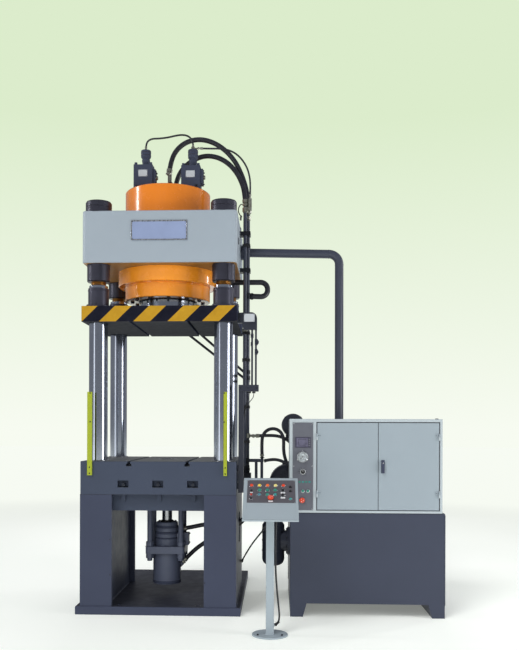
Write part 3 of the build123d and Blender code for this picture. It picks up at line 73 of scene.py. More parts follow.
class Mat:
    """A node material, with short ways to add its nodes."""

    def __init__(self, name):
        self.m = bpy.data.materials.new(name)
        self.m.use_nodes = True
        self.t = self.m.node_tree
        self.b = self.t.nodes["Principled BSDF"]
        self.coords = self.t.nodes.new("ShaderNodeTexCoord").outputs["Object"]

    def set(self, **values):
        names = {
            "rough": "Roughness", "metal": "Metallic", "coat": "Coat Weight", "coat_rough": "Coat Roughness",
            "spec": "Specular IOR Level", "emit": "Emission Color", "emit_power": "Emission Strength",
            "colour": "Base Color", "through": "Transmission Weight", "ior": "IOR", "alpha": "Alpha",
            "aniso": "Anisotropic",
        }
        for key, value in values.items():
            self.b.inputs[names[key]].default_value = value
        return self

    def link(self, a, b):
        self.t.links.new(a, b)

    def stretch(self, sx, sy, sz):
        n = self.t.nodes.new("ShaderNodeMapping")
        n.inputs["Scale"].default_value = (sx, sy, sz)
        self.link(self.coords, n.inputs["Vector"])
        return n.outputs["Vector"]

    def noise(self, scale, detail=3.0, rough=0.5, vector=None, out="Fac"):
        n = self.t.nodes.new("ShaderNodeTexNoise")
        n.inputs["Scale"].default_value = scale
        n.inputs["Detail"].default_value = detail
        n.inputs["Roughness"].default_value = rough
        self.link(vector or self.coords, n.inputs["Vector"])
        return n.outputs[out]

    def remap(self, value, a0, a1, b0, b1):
        n = self.t.nodes.new("ShaderNodeMapRange")
        for key, v in (("From Min", a0), ("From Max", a1), ("To Min", b0), ("To Max", b1)):
            n.inputs[key].default_value = v
        self.link(value, n.inputs["Value"])
        return n.outputs["Result"]

    def math(self, kind, a, b=None, c=None):
        n = self.t.nodes.new("ShaderNodeMath")
        n.operation = kind
        for i, v in enumerate((a, b, c)):
            if v is None:
                continue
            if isinstance(v, (int, float)):
                n.inputs[i].default_value = v
            else:
                self.link(v, n.inputs[i])
        return n.outputs[0]

    def mix(self, factor, a, b):
        n = self.t.nodes.new("ShaderNodeMix")
        n.data_type = "RGBA"
        self.link(factor, n.inputs["Factor"])
        for key, v in (("A", a), ("B", b)):
            socket = [s for s in n.inputs if s.name == key and s.type == "RGBA"][0]
            if isinstance(v, tuple):
                socket.default_value = v
            else:
                self.link(v, socket)
        return [s for s in n.outputs if s.type == "RGBA"][0]

    def axis(self, name):
        n = self.t.nodes.new("ShaderNodeSeparateXYZ")
        self.link(self.coords, n.inputs[0])
        return n.outputs[name]

    def facing(self, name):
        g = self.t.nodes.new("ShaderNodeNewGeometry")
        n = self.t.nodes.new("ShaderNodeSeparateXYZ")
        self.link(g.outputs["True Normal"], n.inputs[0])
        return n.outputs[name]

    def edges(self, radius, sharp=0.5):
        """1 on edges, 0 on flat faces."""
        bevel = self.t.nodes.new("ShaderNodeBevel")
        bevel.samples = 4
        bevel.inputs["Radius"].default_value = radius
        g = self.t.nodes.new("ShaderNodeNewGeometry")
        dot = self.t.nodes.new("ShaderNodeVectorMath")
        dot.operation = "DOT_PRODUCT"
        self.link(bevel.outputs[0], dot.inputs[0])
        self.link(g.outputs["True Normal"], dot.inputs[1])
        return self.remap(dot.outputs["Value"], 1.0, 1.0 - sharp, 0.0, 1.0)

    def normal(self, height=None, strength=0.1, distance=0.001, bevel=0.0):
        last = None
        if bevel:
            n = self.t.nodes.new("ShaderNodeBevel")
            n.samples = 4
            n.inputs["Radius"].default_value = bevel
            last = n.outputs[0]
        if height is not None:
            n = self.t.nodes.new("ShaderNodeBump")
            n.inputs["Strength"].default_value = strength
            n.inputs["Distance"].default_value = distance
            self.link(height, n.inputs["Height"])
            if last is not None:
                self.link(last, n.inputs["Normal"])
            last = n.outputs[0]
        if last is not None:
            self.link(last, self.b.inputs["Normal"])
        return self


def painted(name, colour, rough=0.36, spread=0.06, grain=420, depth=0.10, bevel=0.003, edge=0.0, top=None, under=None, low=None, **more):
    """Sprayed machine paint: slow colour drift, uneven gloss, a fine orange peel and soft edges."""
    m = Mat(name)
    drift = m.noise(1.9, 5, 0.6)
    base = m.mix(m.remap(drift, 0.3, 0.7, 0.0, 1.0), shade(colour, 1 - spread), shade(colour, 1 + spread))
    # below the given height the paint takes another colour; on the orange enamel this lighter lower part is painted
    # light
    if low:
        base = m.mix(m.math("LESS_THAN", m.axis("Z"), low[0]), base, low[1])
    # edges lightened towards a paler paint: partly paint wear, partly painted highlight where the edges catch the light
    if edge:
        edge_wear_and_highlight = m.math("MULTIPLY", m.edges(0.004), m.remap(m.noise(26, 4, 0.7), 0.42, 0.62, 0.25, 1.0))
        base = m.mix(m.math("MULTIPLY", edge_wear_and_highlight, edge), base, shade(colour, 1.9))
    if top:
        base = m.mix(m.remap(m.facing("Z"), 0.7, 0.95, 0.0, 1.0), base, m.mix(m.remap(m.noise(5, 5, 0.65), 0.35, 0.7, 0.0, 1.0), top, shade(top, 1.18)))
    # downward faces take another colour; the crown's ochre underside is a painted reflection of light bounced off the
    # orange cylinder
    if under:
        base = m.mix(m.remap(m.facing("Z"), -0.7, -0.95, 0.0, 1.0), base, under)
    m.link(base, m.b.inputs["Base Color"])
    m.link(m.remap(m.noise(11, 4, 0.6), 0.3, 0.7, rough - 0.05, rough + 0.07), m.b.inputs["Roughness"])
    m.normal(m.noise(grain, 2, 0.5), depth, 0.0006, bevel)
    m.set(**more)
    return m.m


def steel(name, colour, rough=0.3, metal=1.0, lines=(1, 1, 60), grain=40, depth=0.06, spread=0.08, bevel=0.0015, **more):
    """Machined metal: fine tool lines along one way, and patches of differing gloss."""
    m = Mat(name)
    line = m.noise(grain, 3, 0.6, m.stretch(*lines))
    base = m.mix(m.remap(m.noise(6, 4, 0.6), 0.3, 0.7, 0.0, 1.0), shade(colour, 1 - spread), shade(colour, 1 + spread))
    m.link(base, m.b.inputs["Base Color"])
    m.link(m.remap(line, 0.25, 0.75, rough - 0.06, rough + 0.08), m.b.inputs["Roughness"])
    m.normal(line, depth, 0.0004, bevel)
    m.set(metal=metal, **more)
    return m.m


def moulded(name, colour, rough=0.3, grain=900, depth=0.05, spread=0.05, bevel=0.001, **more):
    """Moulded plastic: nearly even colour, faint mould texture, slightly uneven gloss."""
    m = Mat(name)
    base = m.mix(m.remap(m.noise(30, 3, 0.5), 0.3, 0.7, 0.0, 1.0), shade(colour, 1 - spread), shade(colour, 1 + spread))
    m.link(base, m.b.inputs["Base Color"])
    m.link(m.remap(m.noise(60, 3, 0.5), 0.3, 0.7, rough - 0.04, rough + 0.06), m.b.inputs["Roughness"])
    m.normal(m.noise(grain, 2, 0.5), depth, 0.0003, bevel)
    m.set(**more)
    return m.m


def rubber(name, colour, rough=0.5, wrap=0.0):
    """Hose cover: black rubber with the faint print of its cloth wrap, and rubbed patches."""
    m = Mat(name)
    base = m.mix(m.remap(m.noise(16, 5, 0.65), 0.35, 0.7, 0.0, 1.0), shade(colour, 0.8), shade(colour, 1.45))
    m.link(base, m.b.inputs["Base Color"])
    m.link(m.remap(m.noise(24, 4, 0.6), 0.3, 0.7, rough - 0.12, rough + 0.08), m.b.inputs["Roughness"])
    m.normal(m.noise(700, 3, 0.6, m.stretch(1, 1, 0.6)), 0.25 + wrap, 0.0005)
    return m.m


DARK = rgb(61, 66, 83)
P_DARK = painted("dark_machine_paint", DARK, 0.46, 0.05, edge=0.18, top=rgb(46, 48, 57), spec=0.12)
P_BED = painted("bed_machine_paint", rgb(61, 68, 84), 0.44, 0.05, edge=0.18, top=rgb(84, 86, 86), spec=0.2)
# ejector paint: the dark machine paint made lighter as painted light, to brighten the ejector in the shade under the
# bed
P_EJECTOR_LIGHTENED = painted("ejector_paint", rgb(84, 90, 108), 0.40, 0.06, edge=0.2, spec=0.4)
P_TANK = painted("tank_machine_paint", rgb(56, 61, 77), 0.42, 0.04, edge=0.18, spec=0.35)
P_MOTOR = painted("motor_paint", rgb(43, 46, 57), 0.34, 0.07, edge=0.15, bevel=0.002, spec=0.4)
P_PIPE = painted("pipe_paint", rgb(57, 61, 75), 0.34, 0.06, bevel=0.0, spec=0.4)
P_RETURN = painted("return_pipe_cover", rgb(36, 37, 44), 0.36, 0.08, bevel=0.0, spec=0.4)
# crown paint, its underside tinted ochre as a painted reflection of the orange cylinder
P_CROWN = painted("crown_paint", rgb(149, 159, 169), 0.40, 0.025, bevel=0.004, edge=0.15, under=rgb(146, 104, 50), spec=0.3)
P_CABINET = painted("cabinet_sheet_paint", rgb(168, 177, 182), 0.46, 0.02, grain=700, depth=0.16, bevel=0.002, edge=0.15, spec=0.35)
P_DOOR = painted("door_sheet_paint", rgb(143, 154, 162), 0.46, 0.025, grain=700, depth=0.16, bevel=0.002, spec=0.35)
P_CONSOLE = painted("console_sheet_paint", rgb(150, 161, 168), 0.44, 0.025, grain=700, depth=0.14, bevel=0.002, edge=0.15, spec=0.35)
# orange enamel, lighter below Z 2.98 m: painted light on the cylinder's flange
P_ORANGE = painted("orange_enamel", rgb(224, 124, 22), 0.24, 0.04, depth=0.12, bevel=0.004, low=(2.98, rgb(244, 152, 42)), coat=0.6, coat_rough=0.05)
P_STRIP = painted("barrier_yellow", rgb(150, 161, 44), 0.42, 0.05, bevel=0.0015, spec=0.3)
# dark strips standing for the shadow in joints and gaps: painted shade
P_JOINT_SHADOW = painted("joint_shadow", rgb(30, 32, 42), 0.6, 0.05, bevel=0.0)

S_DARK = steel("blackened_steel", rgb(58, 58, 70), 0.36, 0.55, (1, 1, 30), 30, 0.08, 0.15, 0.003)
S_SLEEVE = steel("sleeve_steel", rgb(62, 62, 75), 0.34, 0.55, (1, 1, 30), 24, 0.07, 0.12, 0.003)
S_BOLT = steel("bolt_steel", rgb(58, 60, 68), 0.35, 0.9, (1, 1, 8), 90, 0.10, 0.15, 0.001)
S_BRIGHT = steel("machined_steel", rgb(178, 180, 184), 0.24, 1.0, (1, 1, 40), 30, 0.06)
S_ZINC = steel("zinc_plate", rgb(148, 148, 138), 0.36, 0.85, (6, 6, 12), 30, 0.12, 0.22, 0.001)
S_PLATE = steel("plate_aluminium", rgb(150, 164, 200), 0.40, 0.35, (1, 1, 50), 60, 0.05, 0.05)
S_BRONZE = steel("bronze", rgb(176, 134, 74), 0.34, 1.0, (1, 1, 40), 30, 0.06, 0.12)
S_TRIM = steel("trim_steel", rgb(200, 202, 206), 0.26, 1.0, (1, 1, 1), 60, 0.04, 0.05, 0.0008)
S_RAM = steel("ram_chrome", rgb(158, 164, 176), 0.16, 1.0, (1, 1, 90), 36, 0.05, 0.05, 0.0015)
S_LABEL = steel("bare_label", rgb(196, 200, 206), 0.42, 0.35, (1, 1, 1), 80, 0.05, 0.06, 0.0005)

_f = Mat("fitting_metal")
_fz = _f.axis("Z")
_low = _f.math("MULTIPLY", _f.math("LESS_THAN", _fz, 1.30), _f.math("GREATER_THAN", _fz, 1.03))
_clamp = _f.math("MULTIPLY", _f.math("GREATER_THAN", _fz, 1.90), _f.math("LESS_THAN", _fz, 3.32))
_dark = _f.math("MAXIMUM", _low, _clamp)
_tone_f = _f.mix(_f.remap(_f.noise(30, 4, 0.6), 0.3, 0.7, 0.0, 1.0), rgb(122, 122, 108), rgb(168, 168, 162))
_f.link(_f.mix(_dark, _tone_f, rgb(42, 44, 50)), _f.b.inputs["Base Color"])
_f.link(_f.remap(_f.noise(40, 3, 0.6), 0.3, 0.7, 0.28, 0.44), _f.b.inputs["Roughness"])
_f.normal(_f.noise(260, 2, 0.5), 0.10, 0.0004, 0.001)
_f.set(metal=0.75)
S_FITTING = _f.m

R_HOSE = rubber("hose_rubber", rgb(32, 32, 40), 0.40, 0.1)
R_CABLE = rubber("cable_jacket", rgb(30, 30, 34), 0.40)

M_BLACK = moulded("black_plastic", rgb(26, 26, 30), 0.28)
M_BEZEL = moulded("display_bezel", rgb(58, 56, 74), 0.34)
M_HANDLE = moulded("handle_blue_grey", rgb(52, 57, 78), 0.32)
M_FASCIA = moulded("strip_fascia", rgb(90, 92, 101), 0.44, 500, 0.10, 0.03)
M_PANEL = moulded("console_fascia", rgb(82, 80, 86), 0.46, 500, 0.10, 0.04)
M_RED = moulded("red_plastic", rgb(208, 66, 36), 0.28, coat=0.2)
M_DARKRED = moulded("dark_red_plastic", rgb(168, 46, 36), 0.28, coat=0.2)
M_GREEN = moulded("green_plastic", rgb(44, 128, 112), 0.30, coat=0.2)
M_TEAL = moulded("teal_plastic", rgb(58, 140, 138), 0.26, coat=0.3)
M_BLUE = moulded("blue_green_plastic", rgb(74, 124, 140), 0.26, coat=0.3)
M_YELLOW = moulded("yellow_plastic", rgb(226, 196, 84), 0.24, coat=0.3)
M_PALE = moulded("pale_yellow_plastic", rgb(222, 206, 130), 0.24, coat=0.3)
M_AMBER = moulded("orange_plastic", rgb(224, 106, 50), 0.24, coat=0.3)
M_WHITE = moulded("white_plastic", rgb(214, 216, 218), 0.38)
M_DIAL = moulded("dial_white", rgb(228, 230, 232), 0.45, bevel=0.0)
M_SCREEN = Mat("display_screen")
_n = M_SCREEN.remap(M_SCREEN.noise(30, 2, 0.4), 0.3, 0.7, 0.0, 1.0)
M_SCREEN.link(M_SCREEN.mix(_n, rgb(82, 80, 100), rgb(96, 94, 116)), M_SCREEN.b.inputs["Base Color"])
M_SCREEN.set(rough=0.22, coat=0.3)
M_SCREEN = M_SCREEN.m
M_GREY = moulded("switchgear_grey", rgb(150, 152, 150), 0.45)

# hard chrome, ground round the bar; bare thread above the shoulder
_c = Mat("hard_chrome")
_line = _c.noise(36, 3, 0.6, _c.stretch(1, 1, 90))
_above = _c.math("GREATER_THAN", _c.axis("Z"), 2.7492)
_chrome = _c.mix(_c.remap(_c.noise(3, 3, 0.5), 0.3, 0.7, 0, 1), rgb(158, 164, 178), rgb(172, 178, 190))
_c.link(_c.mix(_above, _chrome, rgb(170, 158, 118)), _c.b.inputs["Base Color"])
_gloss = _c.remap(_line, 0.25, 0.75, 0.10, 0.17)
_c.link(_c.math("ADD", _gloss, _c.math("MULTIPLY", _above, 0.22)), _c.b.inputs["Roughness"])
_c.normal(_line, 0.05, 0.0003)
_c.set(metal=1.0)
S_CHROME = _c.m

# the slide: stripes on its front edge, machine paint elsewhere, bare ground underside
_s = Mat("slide_paint")
_u = _s.math("SUBTRACT", _s.axis("X"), _s.math("MULTIPLY", _s.axis("Z"), 1.03))
_phase = _s.math("FRACT", _s.math("ADD", _s.math("DIVIDE", _s.math("ADD", _u, 3.160), 0.2875), 30.0))
_stripe = _s.math("LESS_THAN", _phase, 0.508)
_front = _s.math("LESS_THAN", _s.facing("Y"), -0.6)
_wear = _s.remap(_s.noise(14, 5, 0.7), 0.35, 0.75, 0.0, 1.0)
_ochre = _s.mix(_wear, rgb(180, 138, 42), rgb(168, 127, 38))
_black = _s.mix(_wear, rgb(25, 26, 36), rgb(32, 33, 44))
_plain = _s.mix(_wear, rgb(58, 62, 78), rgb(68, 72, 88))
_below = _s.math("LESS_THAN", _s.facing("Z"), -0.6)
_plain = _s.mix(_below, _plain, _s.mix(_wear, rgb(64, 65, 69), rgb(76, 77, 81)))
_s.link(_s.mix(_front, _plain, _s.mix(_stripe, _ochre, _black)), _s.b.inputs["Base Color"])
_s.set(spec=0.0)
_s.link(_s.remap(_s.noise(11, 4, 0.6), 0.3, 0.7, 0.28, 0.40), _s.b.inputs["Roughness"])
_s.normal(_s.noise(420, 2), 0.10, 0.0006, 0.003)
P_SLIDE = _s.m


def glass(name, colour=(0.9, 0.93, 0.95, 1)):
    m = Mat(name)
    m.set(colour=colour, rough=0.04, through=1.0, ior=1.45)
    m.normal(m.noise(60, 2), 0.02, 0.0002)
    return m.m


M_GLASS = glass("gauge_glass")


# --------------------------------------------------------------- mesh tools
def basis(axis):
    w = Vector(axis).normalized()
    u = Vector((1, 0, 0)) if abs(w.x) < 0.9 else Vector((0, 1, 0))
    u = (u - w * u.dot(w)).normalized()
    return u, w.cross(u), w


class Shape:
    """A mesh under construction, in millimetres in the row frame, with a material for each part."""

    def __init__(self, name):
        self.name = name
        self.bm = bmesh.new()
        self.mats = []

    def _mat(self, material):
        if material not in self.mats:
            self.mats.append(material)
        return self.mats.index(material)

    def _close(self, faces, material, bevel=0.0, segments=2):
        index = self._mat(material)
        for f in faces:
            f.material_index = index
        if bevel:
            edges = {e for f in faces for e in f.edges}
            sharp = [e for e in edges if len(e.link_faces) == 2 and e.calc_face_angle(0) > 0.6]
            made = bmesh.ops.bevel(
                self.bm, geom=sharp, offset=bevel, offset_type="OFFSET", segments=segments, profile=0.5,
                affect="EDGES", clamp_overlap=True,
            )
            for f in made["faces"]:
                f.material_index = index

    def lathe(self, profile, origin, axis, material, seg=48, start=0.0):
        """Points (radius, height) turned round the axis. A radius of 0 closes the end."""
        u, v, w = basis(axis)
        o = Vector(origin)
        rings = []
        for r, h in profile:
            if r == 0:
                rings.append([self.bm.verts.new(o + w * h)])
            else:
                rings.append([
                    self.bm.verts.new(o + w * h + (u * math.cos(a) + v * math.sin(a)) * r)
                    for a in (start + 2 * math.pi * i / seg for i in range(seg))
                ])
        faces = []
        for a, b in zip(rings, rings[1:]):
            for i in range(seg):
                j = (i + 1) % seg
                if len(a) == 1 and len(b) == 1:
                    continue
                if len(a) == 1:
                    loop = (a[0], b[j], b[i])
                elif len(b) == 1:
                    loop = (a[i], a[j], b[0])
                else:
                    loop = (a[i], a[j], b[j], b[i])
                faces.append(self.bm.faces.new(loop))
        self._close(faces, material)
        return self

    def prism(self, outline, origin, u, v, depth, material, bevel=0.0, segments=2):
        """A flat outline in the plane of u and v, pushed along u x v by depth."""
        u, v = Vector(u).normalized(), Vector(v).normalized()
        w = u.cross(v)
        o = Vector(origin)
        low = [self.bm.verts.new(o + u * x + v * y) for x, y in outline]
        high = [self.bm.verts.new(p.co + w * depth) for p in low]
        faces = [self.bm.faces.new(low[::-1]), self.bm.faces.new(high)]
        n = len(low)
        for i in range(n):
            j = (i + 1) % n
            faces.append(self.bm.faces.new((low[i], low[j], high[j], high[i])))
        self._close(faces, material, bevel, segments)
        return self

    def box(self, low, high, material, bevel=0.0, segments=2):
        (x0, y0, z0), (x1, y1, z1) = low, high
        return self.prism(
            [(0, 0), (x1 - x0, 0), (x1 - x0, y1 - y0), (0, y1 - y0)], (x0, y0, z0), (1, 0, 0), (0, 1, 0), z1 - z0,
            material, bevel, segments,
        )

    def hexagon(self, across, origin, axis, height, material, bevel=0.0, turn=0.0):
        u, v, w = basis(axis)
        r = across / math.sqrt(3)
        points = [(r * math.cos(turn + i * math.pi / 3), r * math.sin(turn + i * math.pi / 3)) for i in range(6)]
        return self.prism(points, origin, u, v, height, material, bevel)

    def screw(self, r, h, origin, axis, material=None):
        """Socket head: round head with a rounded rim and a socket in it."""
        m = material or S_BOLT
        self.lathe(
            [(r, 0), (r, h * 0.8), (r * 0.9, h), (r * 0.52, h), (r * 0.5, h * 0.45), (0, h * 0.42)],
            origin, axis, m, 20,
        )
        return self

    def bolt(self, r, h, origin, axis, material=None, turn=0.0):
        """Hexagon head on a washer."""
        m = material or S_BOLT
        self.lathe([(r * 1.25, 0), (r * 1.25, h * 0.22), (0, h * 0.22)], origin, axis, m, 24)
        u, v, w = basis(axis)
        self.hexagon(r * 1.75, Vector(origin) + w * h * 0.22, axis, h * 0.78, m, r * 0.08, turn)
        return self

    def done(self, body, slot=None, replaces=(), smooth=35.0):
        bm = self.bm
        bmesh.ops.recalc_face_normals(bm, faces=bm.faces)
        for f in bm.faces:
            f.smooth = True
        for e in bm.edges:
            e.smooth = len(e.link_faces) == 2 and e.calc_face_angle(0) < math.radians(smooth)
        bmesh.ops.scale(bm, vec=(MM, MM, MM), verts=bm.verts)
        mesh = bpy.data.meshes.new(self.name)
        bm.to_mesh(mesh)
        bm.free()
        for m in self.mats:
            mesh.materials.append(m)
        piece = bpy.data.objects.new(self.name, mesh)
        SCENE.collection.objects.link(piece)
        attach(piece, body)
        if replaces:
            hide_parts(*replaces)
        return piece


def line(name, points, diameter, material, body="frame", slot="hose_rubber", replaces=(), caps=True):
    """A round cord, hose or wire whose centre is a smooth curve steered by the points, in millimetres."""
    data = bpy.data.curves.new(name, "CURVE")
    data.dimensions = "3D"
    data.resolution_u = 10
    data.bevel_depth = diameter * MM / 2
    data.bevel_resolution = 6
    data.use_fill_caps = caps
    spline = data.splines.new("NURBS")
    spline.points.add(len(points) - 1)
    for p, (x, y, z) in zip(spline.points, points):
        p.co = (x * MM, y * MM, z * MM, 1)
    spline.order_u = 3
    spline.use_endpoint_u = True
    data.materials.append(material)
    piece = bpy.data.objects.new(name, data)
    SCENE.collection.objects.link(piece)
    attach(piece, body)
    if replaces:
        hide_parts(*replaces)
    return piece


# -------------------------------------------------------------------- cords
HOSES = {
    "main_hose_front": (44, 1.216, "stiff", [
        (14, 0, 3881), (30, 0, 3974), (82, 2, 4064), (170, 6, 4130), (286, 10, 4152), (408, 14, 4122),
        (520, 20, 4048), (608, 28, 3944), (664, 33, 3826), (700, 32, 3714), (715, 29, 3630), (719, 27, 3562)]),
    "main_hose_rear": (44, 1.053, "stiff", [
        (52, 84, 3730), (70, 84, 3822), (124, 80, 3914), (214, 70, 3984), (326, 56, 4018), (440, 38, 3998),
        (540, 14, 3934), (614, -10, 3846), (662, -22, 3752), (688, -25, 3668), (695, -25, 3590)]),
    "pilot_hose_left": (16, 0.521, "medium", [
        (-184, -105, 4047), (-181, -105, 4078), (-160, -105, 4106), (-122, -105, 4119), (-66, -105, 4119),
        (10, -105, 4127), (80, -105, 4143), (136, -105, 4150), (184, -105, 4142), (218, -105, 4116),
        (233, -105, 4082), (235, -105, 4052)]),
    "pilot_hose_right": (16, 0.691, "medium", [
        (322, -105, 4026), (392, -103, 4024), (470, -98, 4026), (548, -90, 4016), (618, -80, 3984), (676, -68, 3928),
        (718, -56, 3856), (738, -48, 3776), (742, -42, 3700), (740, -38, 3636)]),
    "ejector_hose_upper": (38, 0.793, "stiff", [
        (176, 0, 652), (240, 0, 664), (330, -1, 684), (432, -3, 696), (534, -5, 699), (630, -7, 708), (692, -8, 738),
        (743, -9, 785), (780, -10, 844), (798, -10, 911), (800, -10, 970)]),
    "ejector_hose_lower": (38, 1.013, "stiff", [
        (172, 20, 378), (216, 22, 424), (284, 26, 484), (372, 34, 538), (470, 44, 578), (566, 50, 622), (646, 53, 682),
        (714, 49, 752), (788, 36, 838), (833, 16, 912), (850, -3, 984), (850, -10, 1052)]),
    "link_hose_arch": (30, 0.850, "stiff", [
        (852, -10, 1318), (850, -10, 1370), (851, -10, 1424), (854, -9, 1474), (877, -8, 1518), (920, -7, 1545),
        (970, -5, 1547), (1014, -3, 1524), (1040, -1, 1481), (1046, 2, 1426), (1044, 6, 1366), (1052, 10, 1300),
        (1075, 15, 1234), (1103, 20, 1172), (1118, 23, 1108), (1118, 24, 1044)]),
    "link_hose_high": (29, 0.694, "stiff", [
        (826, 27, 1483), (900, 33, 1486), (980, 41, 1484), (1052, 46, 1464), (1114, 44, 1418), (1156, 38, 1352),
        (1176, 32, 1272), (1182, 27, 1190), (1180, 24, 1112), (1181, 22, 1044)]),
    "link_hose_low": (28, 0.486, "stiff", [
        (886, -10, 1262), (934, -11, 1272), (992, -14, 1270), (1050, -19, 1250), (1106, -25, 1216), (1160, -29, 1172),
        (1204, -30, 1120), (1230, -31, 1062), (1236, -31, 1010)]),
    "leg_cable": (14, 1.384, "medium", [
        (668, 180, 332), (701, 94, 402), (734, 4, 465), (766, -90, 524), (797, -189, 576), (825, -291, 622),
        (849, -396, 663), (871, -503, 700), (889, -611, 736), (904, -718, 775), (916, -824, 819), (925, -926, 871),
        (930, -1024, 934)]),
    "console_cable": (14, 0.797, "medium", [
        (980, -1150, 865), (978, -1150, 770), (975, -1150, 660), (975.5, -1150, 545), (980, -1150, 430),
        (989, -1150, 320), (999, -1151, 225), (1006, -1153, 160), (1005, -1156, 122), (997, -1159, 94), (979, -1160, 78)]),
}
for hose_name, (diameter, length, stiffness, points) in HOSES.items():
    is_cable = hose_name.endswith("cable")
    hose = line(
        hose_name + "_cover", points, diameter, R_CABLE if is_cable else R_HOSE, "frame",
        "cable_jacket" if is_cable else "hose_rubber", (hose_name,),
    )

# ------------------------------------------------- finishes of the CAD nodes
FINISH = {
    "stand": P_DARK, "bed_block": P_BED, "trip_frame": P_MOTOR, "switch_post": P_MOTOR, "valve_blocks": P_DARK,
    "valve_adapters": P_DARK, "ejector_cylinder": P_EJECTOR_LIGHTENED, "ejector_studs": P_EJECTOR_LIGHTENED, "suction_filter": P_MOTOR,
    "tank": P_TANK, "crown": P_CROWN, "cabinet": P_CABINET, "left_door": P_DOOR, "right_door": P_DOOR,
    "console_box": P_CONSOLE, "console_stand": P_CONSOLE, "main_cylinder": P_ORANGE, "gland_ring": P_ORANGE,
    "slide": P_SLIDE, "columns": S_CHROME, "ram": S_RAM, "column_nuts": S_DARK, "guide_sleeves": S_SLEEVE,
    "gland_bolts": S_BOLT, "ejector_rod": S_BRIGHT, "drive_coupling": S_BRIGHT, "guide_bushes": S_BRONZE,
    "nameplate": S_PLATE, "riser_pipes": P_PIPE, "prefill_pipe": P_PIPE, "return_pipe": P_RETURN,
    "hose_fittings": S_FITTING, "guard_strips": P_STRIP, "door_handle": M_HANDLE, "switchgear": M_GREY,
    "gauge": S_TRIM, "gauge_needle": M_BLACK, "strip_knob": M_BLACK, "strip_estop": M_RED, "main_pump": P_MOTOR,
    "console_estop": M_RED, "selector_upper": M_BLACK, "selector_lower": M_BLACK, "button_1": M_GREEN,
    "button_2": M_GREEN, "button_3": M_GREEN, "signal_lamps": M_GREEN, "main_motor": P_MOTOR, "pilot_motor": P_MOTOR,
}
for node_name, material in FINISH.items():
    for s in NODES[node_name].material_slots:
        s.material = material

# ------------------------------------------------------------------ crown
s = Shape("nameplate_frame")
for x0, x1, z0, z1 in ((-235, 235, 3269, 3279), (-235, 235, 3113, 3123), (-235, -226, 3123, 3269), (226, 235, 3123, 3269)):
    s.box((x0, -550, z0), (x1, -546, z1), S_TRIM, 1.2)
for x in (-225, 225):
    for z in (3123, 3269):
        s.lathe([(5.5, 0), (5.5, 1.2), (4, 3), (0, 3.6)], (x, -547, z), (0, -1, 0), S_BOLT, 20)
s.done("frame", "plate_metal")

s = Shape("crown_details")
# shallow weld bead where the cylinder passes through the crown's top
bead = [(378, 0), (386, 0), (385, 4), (381.5, 7), (378, 8)]
s.lathe(bead, (0, 0, 3364), (0, 0, 1), P_ORANGE, 128)
# lifting holes, plugged, on the crown's sides
for x, way in ((-650, -1), (650, 1)):
    for y in (-330, 330):
        s.lathe([(30, 0), (30, 3), (26, 5), (12, 5), (10, 2), (0, 2)], (x, y, 3150), (way, 0, 0), S_BOLT, 32)
s.done("frame", "crown_paint")

s = Shape("column_threads")
for x in (-531.5, 531.5):
    for y in (-433, 433):
        profile, z = [(57, 0)], 0.0
        while z < 38.5:
            profile += [(62.5, z + 0.6), (62.5, z + 1.5), (59.3, z + 3.0), (59.3, z + 3.6)]
            z += 4.3
        profile += [(57, 38.9)]
        s.lathe(profile, (x, y, 2749.2), (0, 0, 1), S_BRONZE, 64)
s.done("frame", "bronze")

s = Shape("nut_details")
for x in (-531.5, 531.5):
    for y in (-433, 433):
        # lower nut: turned rim rings; upper nut: ring in the groove and a centre plug
        s.lathe([(90, -3), (92, -6), (62, -6), (62, -1)], (x, y, 2788), (0, 0, 1), S_DARK, 64)
        s.lathe([(96, 0), (98, 2), (98, 8), (96, 10)], (x, y, 2916), (0, 0, 1), S_DARK, 64)
        s.lathe([(105, 0), (107.5, 1), (107.5, 6), (105, 7)], (x, y, 3409), (0, 0, 1), S_SLEEVE, 64)
        s.lathe([(26, 0), (26, 4), (23, 6), (13, 6), (12, 1), (0, 1)], (x, y, 3460), (0, 0, 1), S_BOLT, 32)
s.done("frame", "dark_steel")

s = Shape("sleeve_details")
for x in (-531.5, 531.5):
    for y in (-433, 433):
        s.lathe([(83.5, 0), (86, 0.6), (86, 2), (83.5, 3.4), (80, 3.4), (79.4, 0)], (x, y, 2725), (0, 0, 1), S_BRIGHT, 64)
        s.lathe([(87, 0), (90, 1.5), (90, 9), (87, 10.5)], (x, y, 2704), (0, 0, 1), S_SLEEVE, 64)
        for i in range(6):
            a = math.radians(30 + 60 * i)
            s.screw(6.5, 8, (x + 97 * math.cos(a), y + 97 * math.sin(a), 2582), (0, 0, 1))
s.done("slide_body", "dark_steel")

# ------------------------------------------------------------ main cylinder
s = Shape("cylinder_details")
# the groove between flange and gland, and the wiper ring round the ram
s.lathe([(379, 0), (382, 2), (382, 8), (379, 10)], (0, 0, 2788), (0, 0, 1), P_ORANGE, 128)
s.lathe([(245.4, 0), (251, 0), (262, 5), (262, 9), (246, 9)], (0, 0, 2669), (0, 0, 1), M_BLACK, 128)
# cover screws on the cylinder's head
for i in range(8):
    a = 2 * math.pi * (i + 0.25) / 8
    s.screw(20, 20, (318 * math.cos(a), 318 * math.sin(a) + 0, 3643), (0, 0, 1))
s.done("frame", "cylinder_paint")

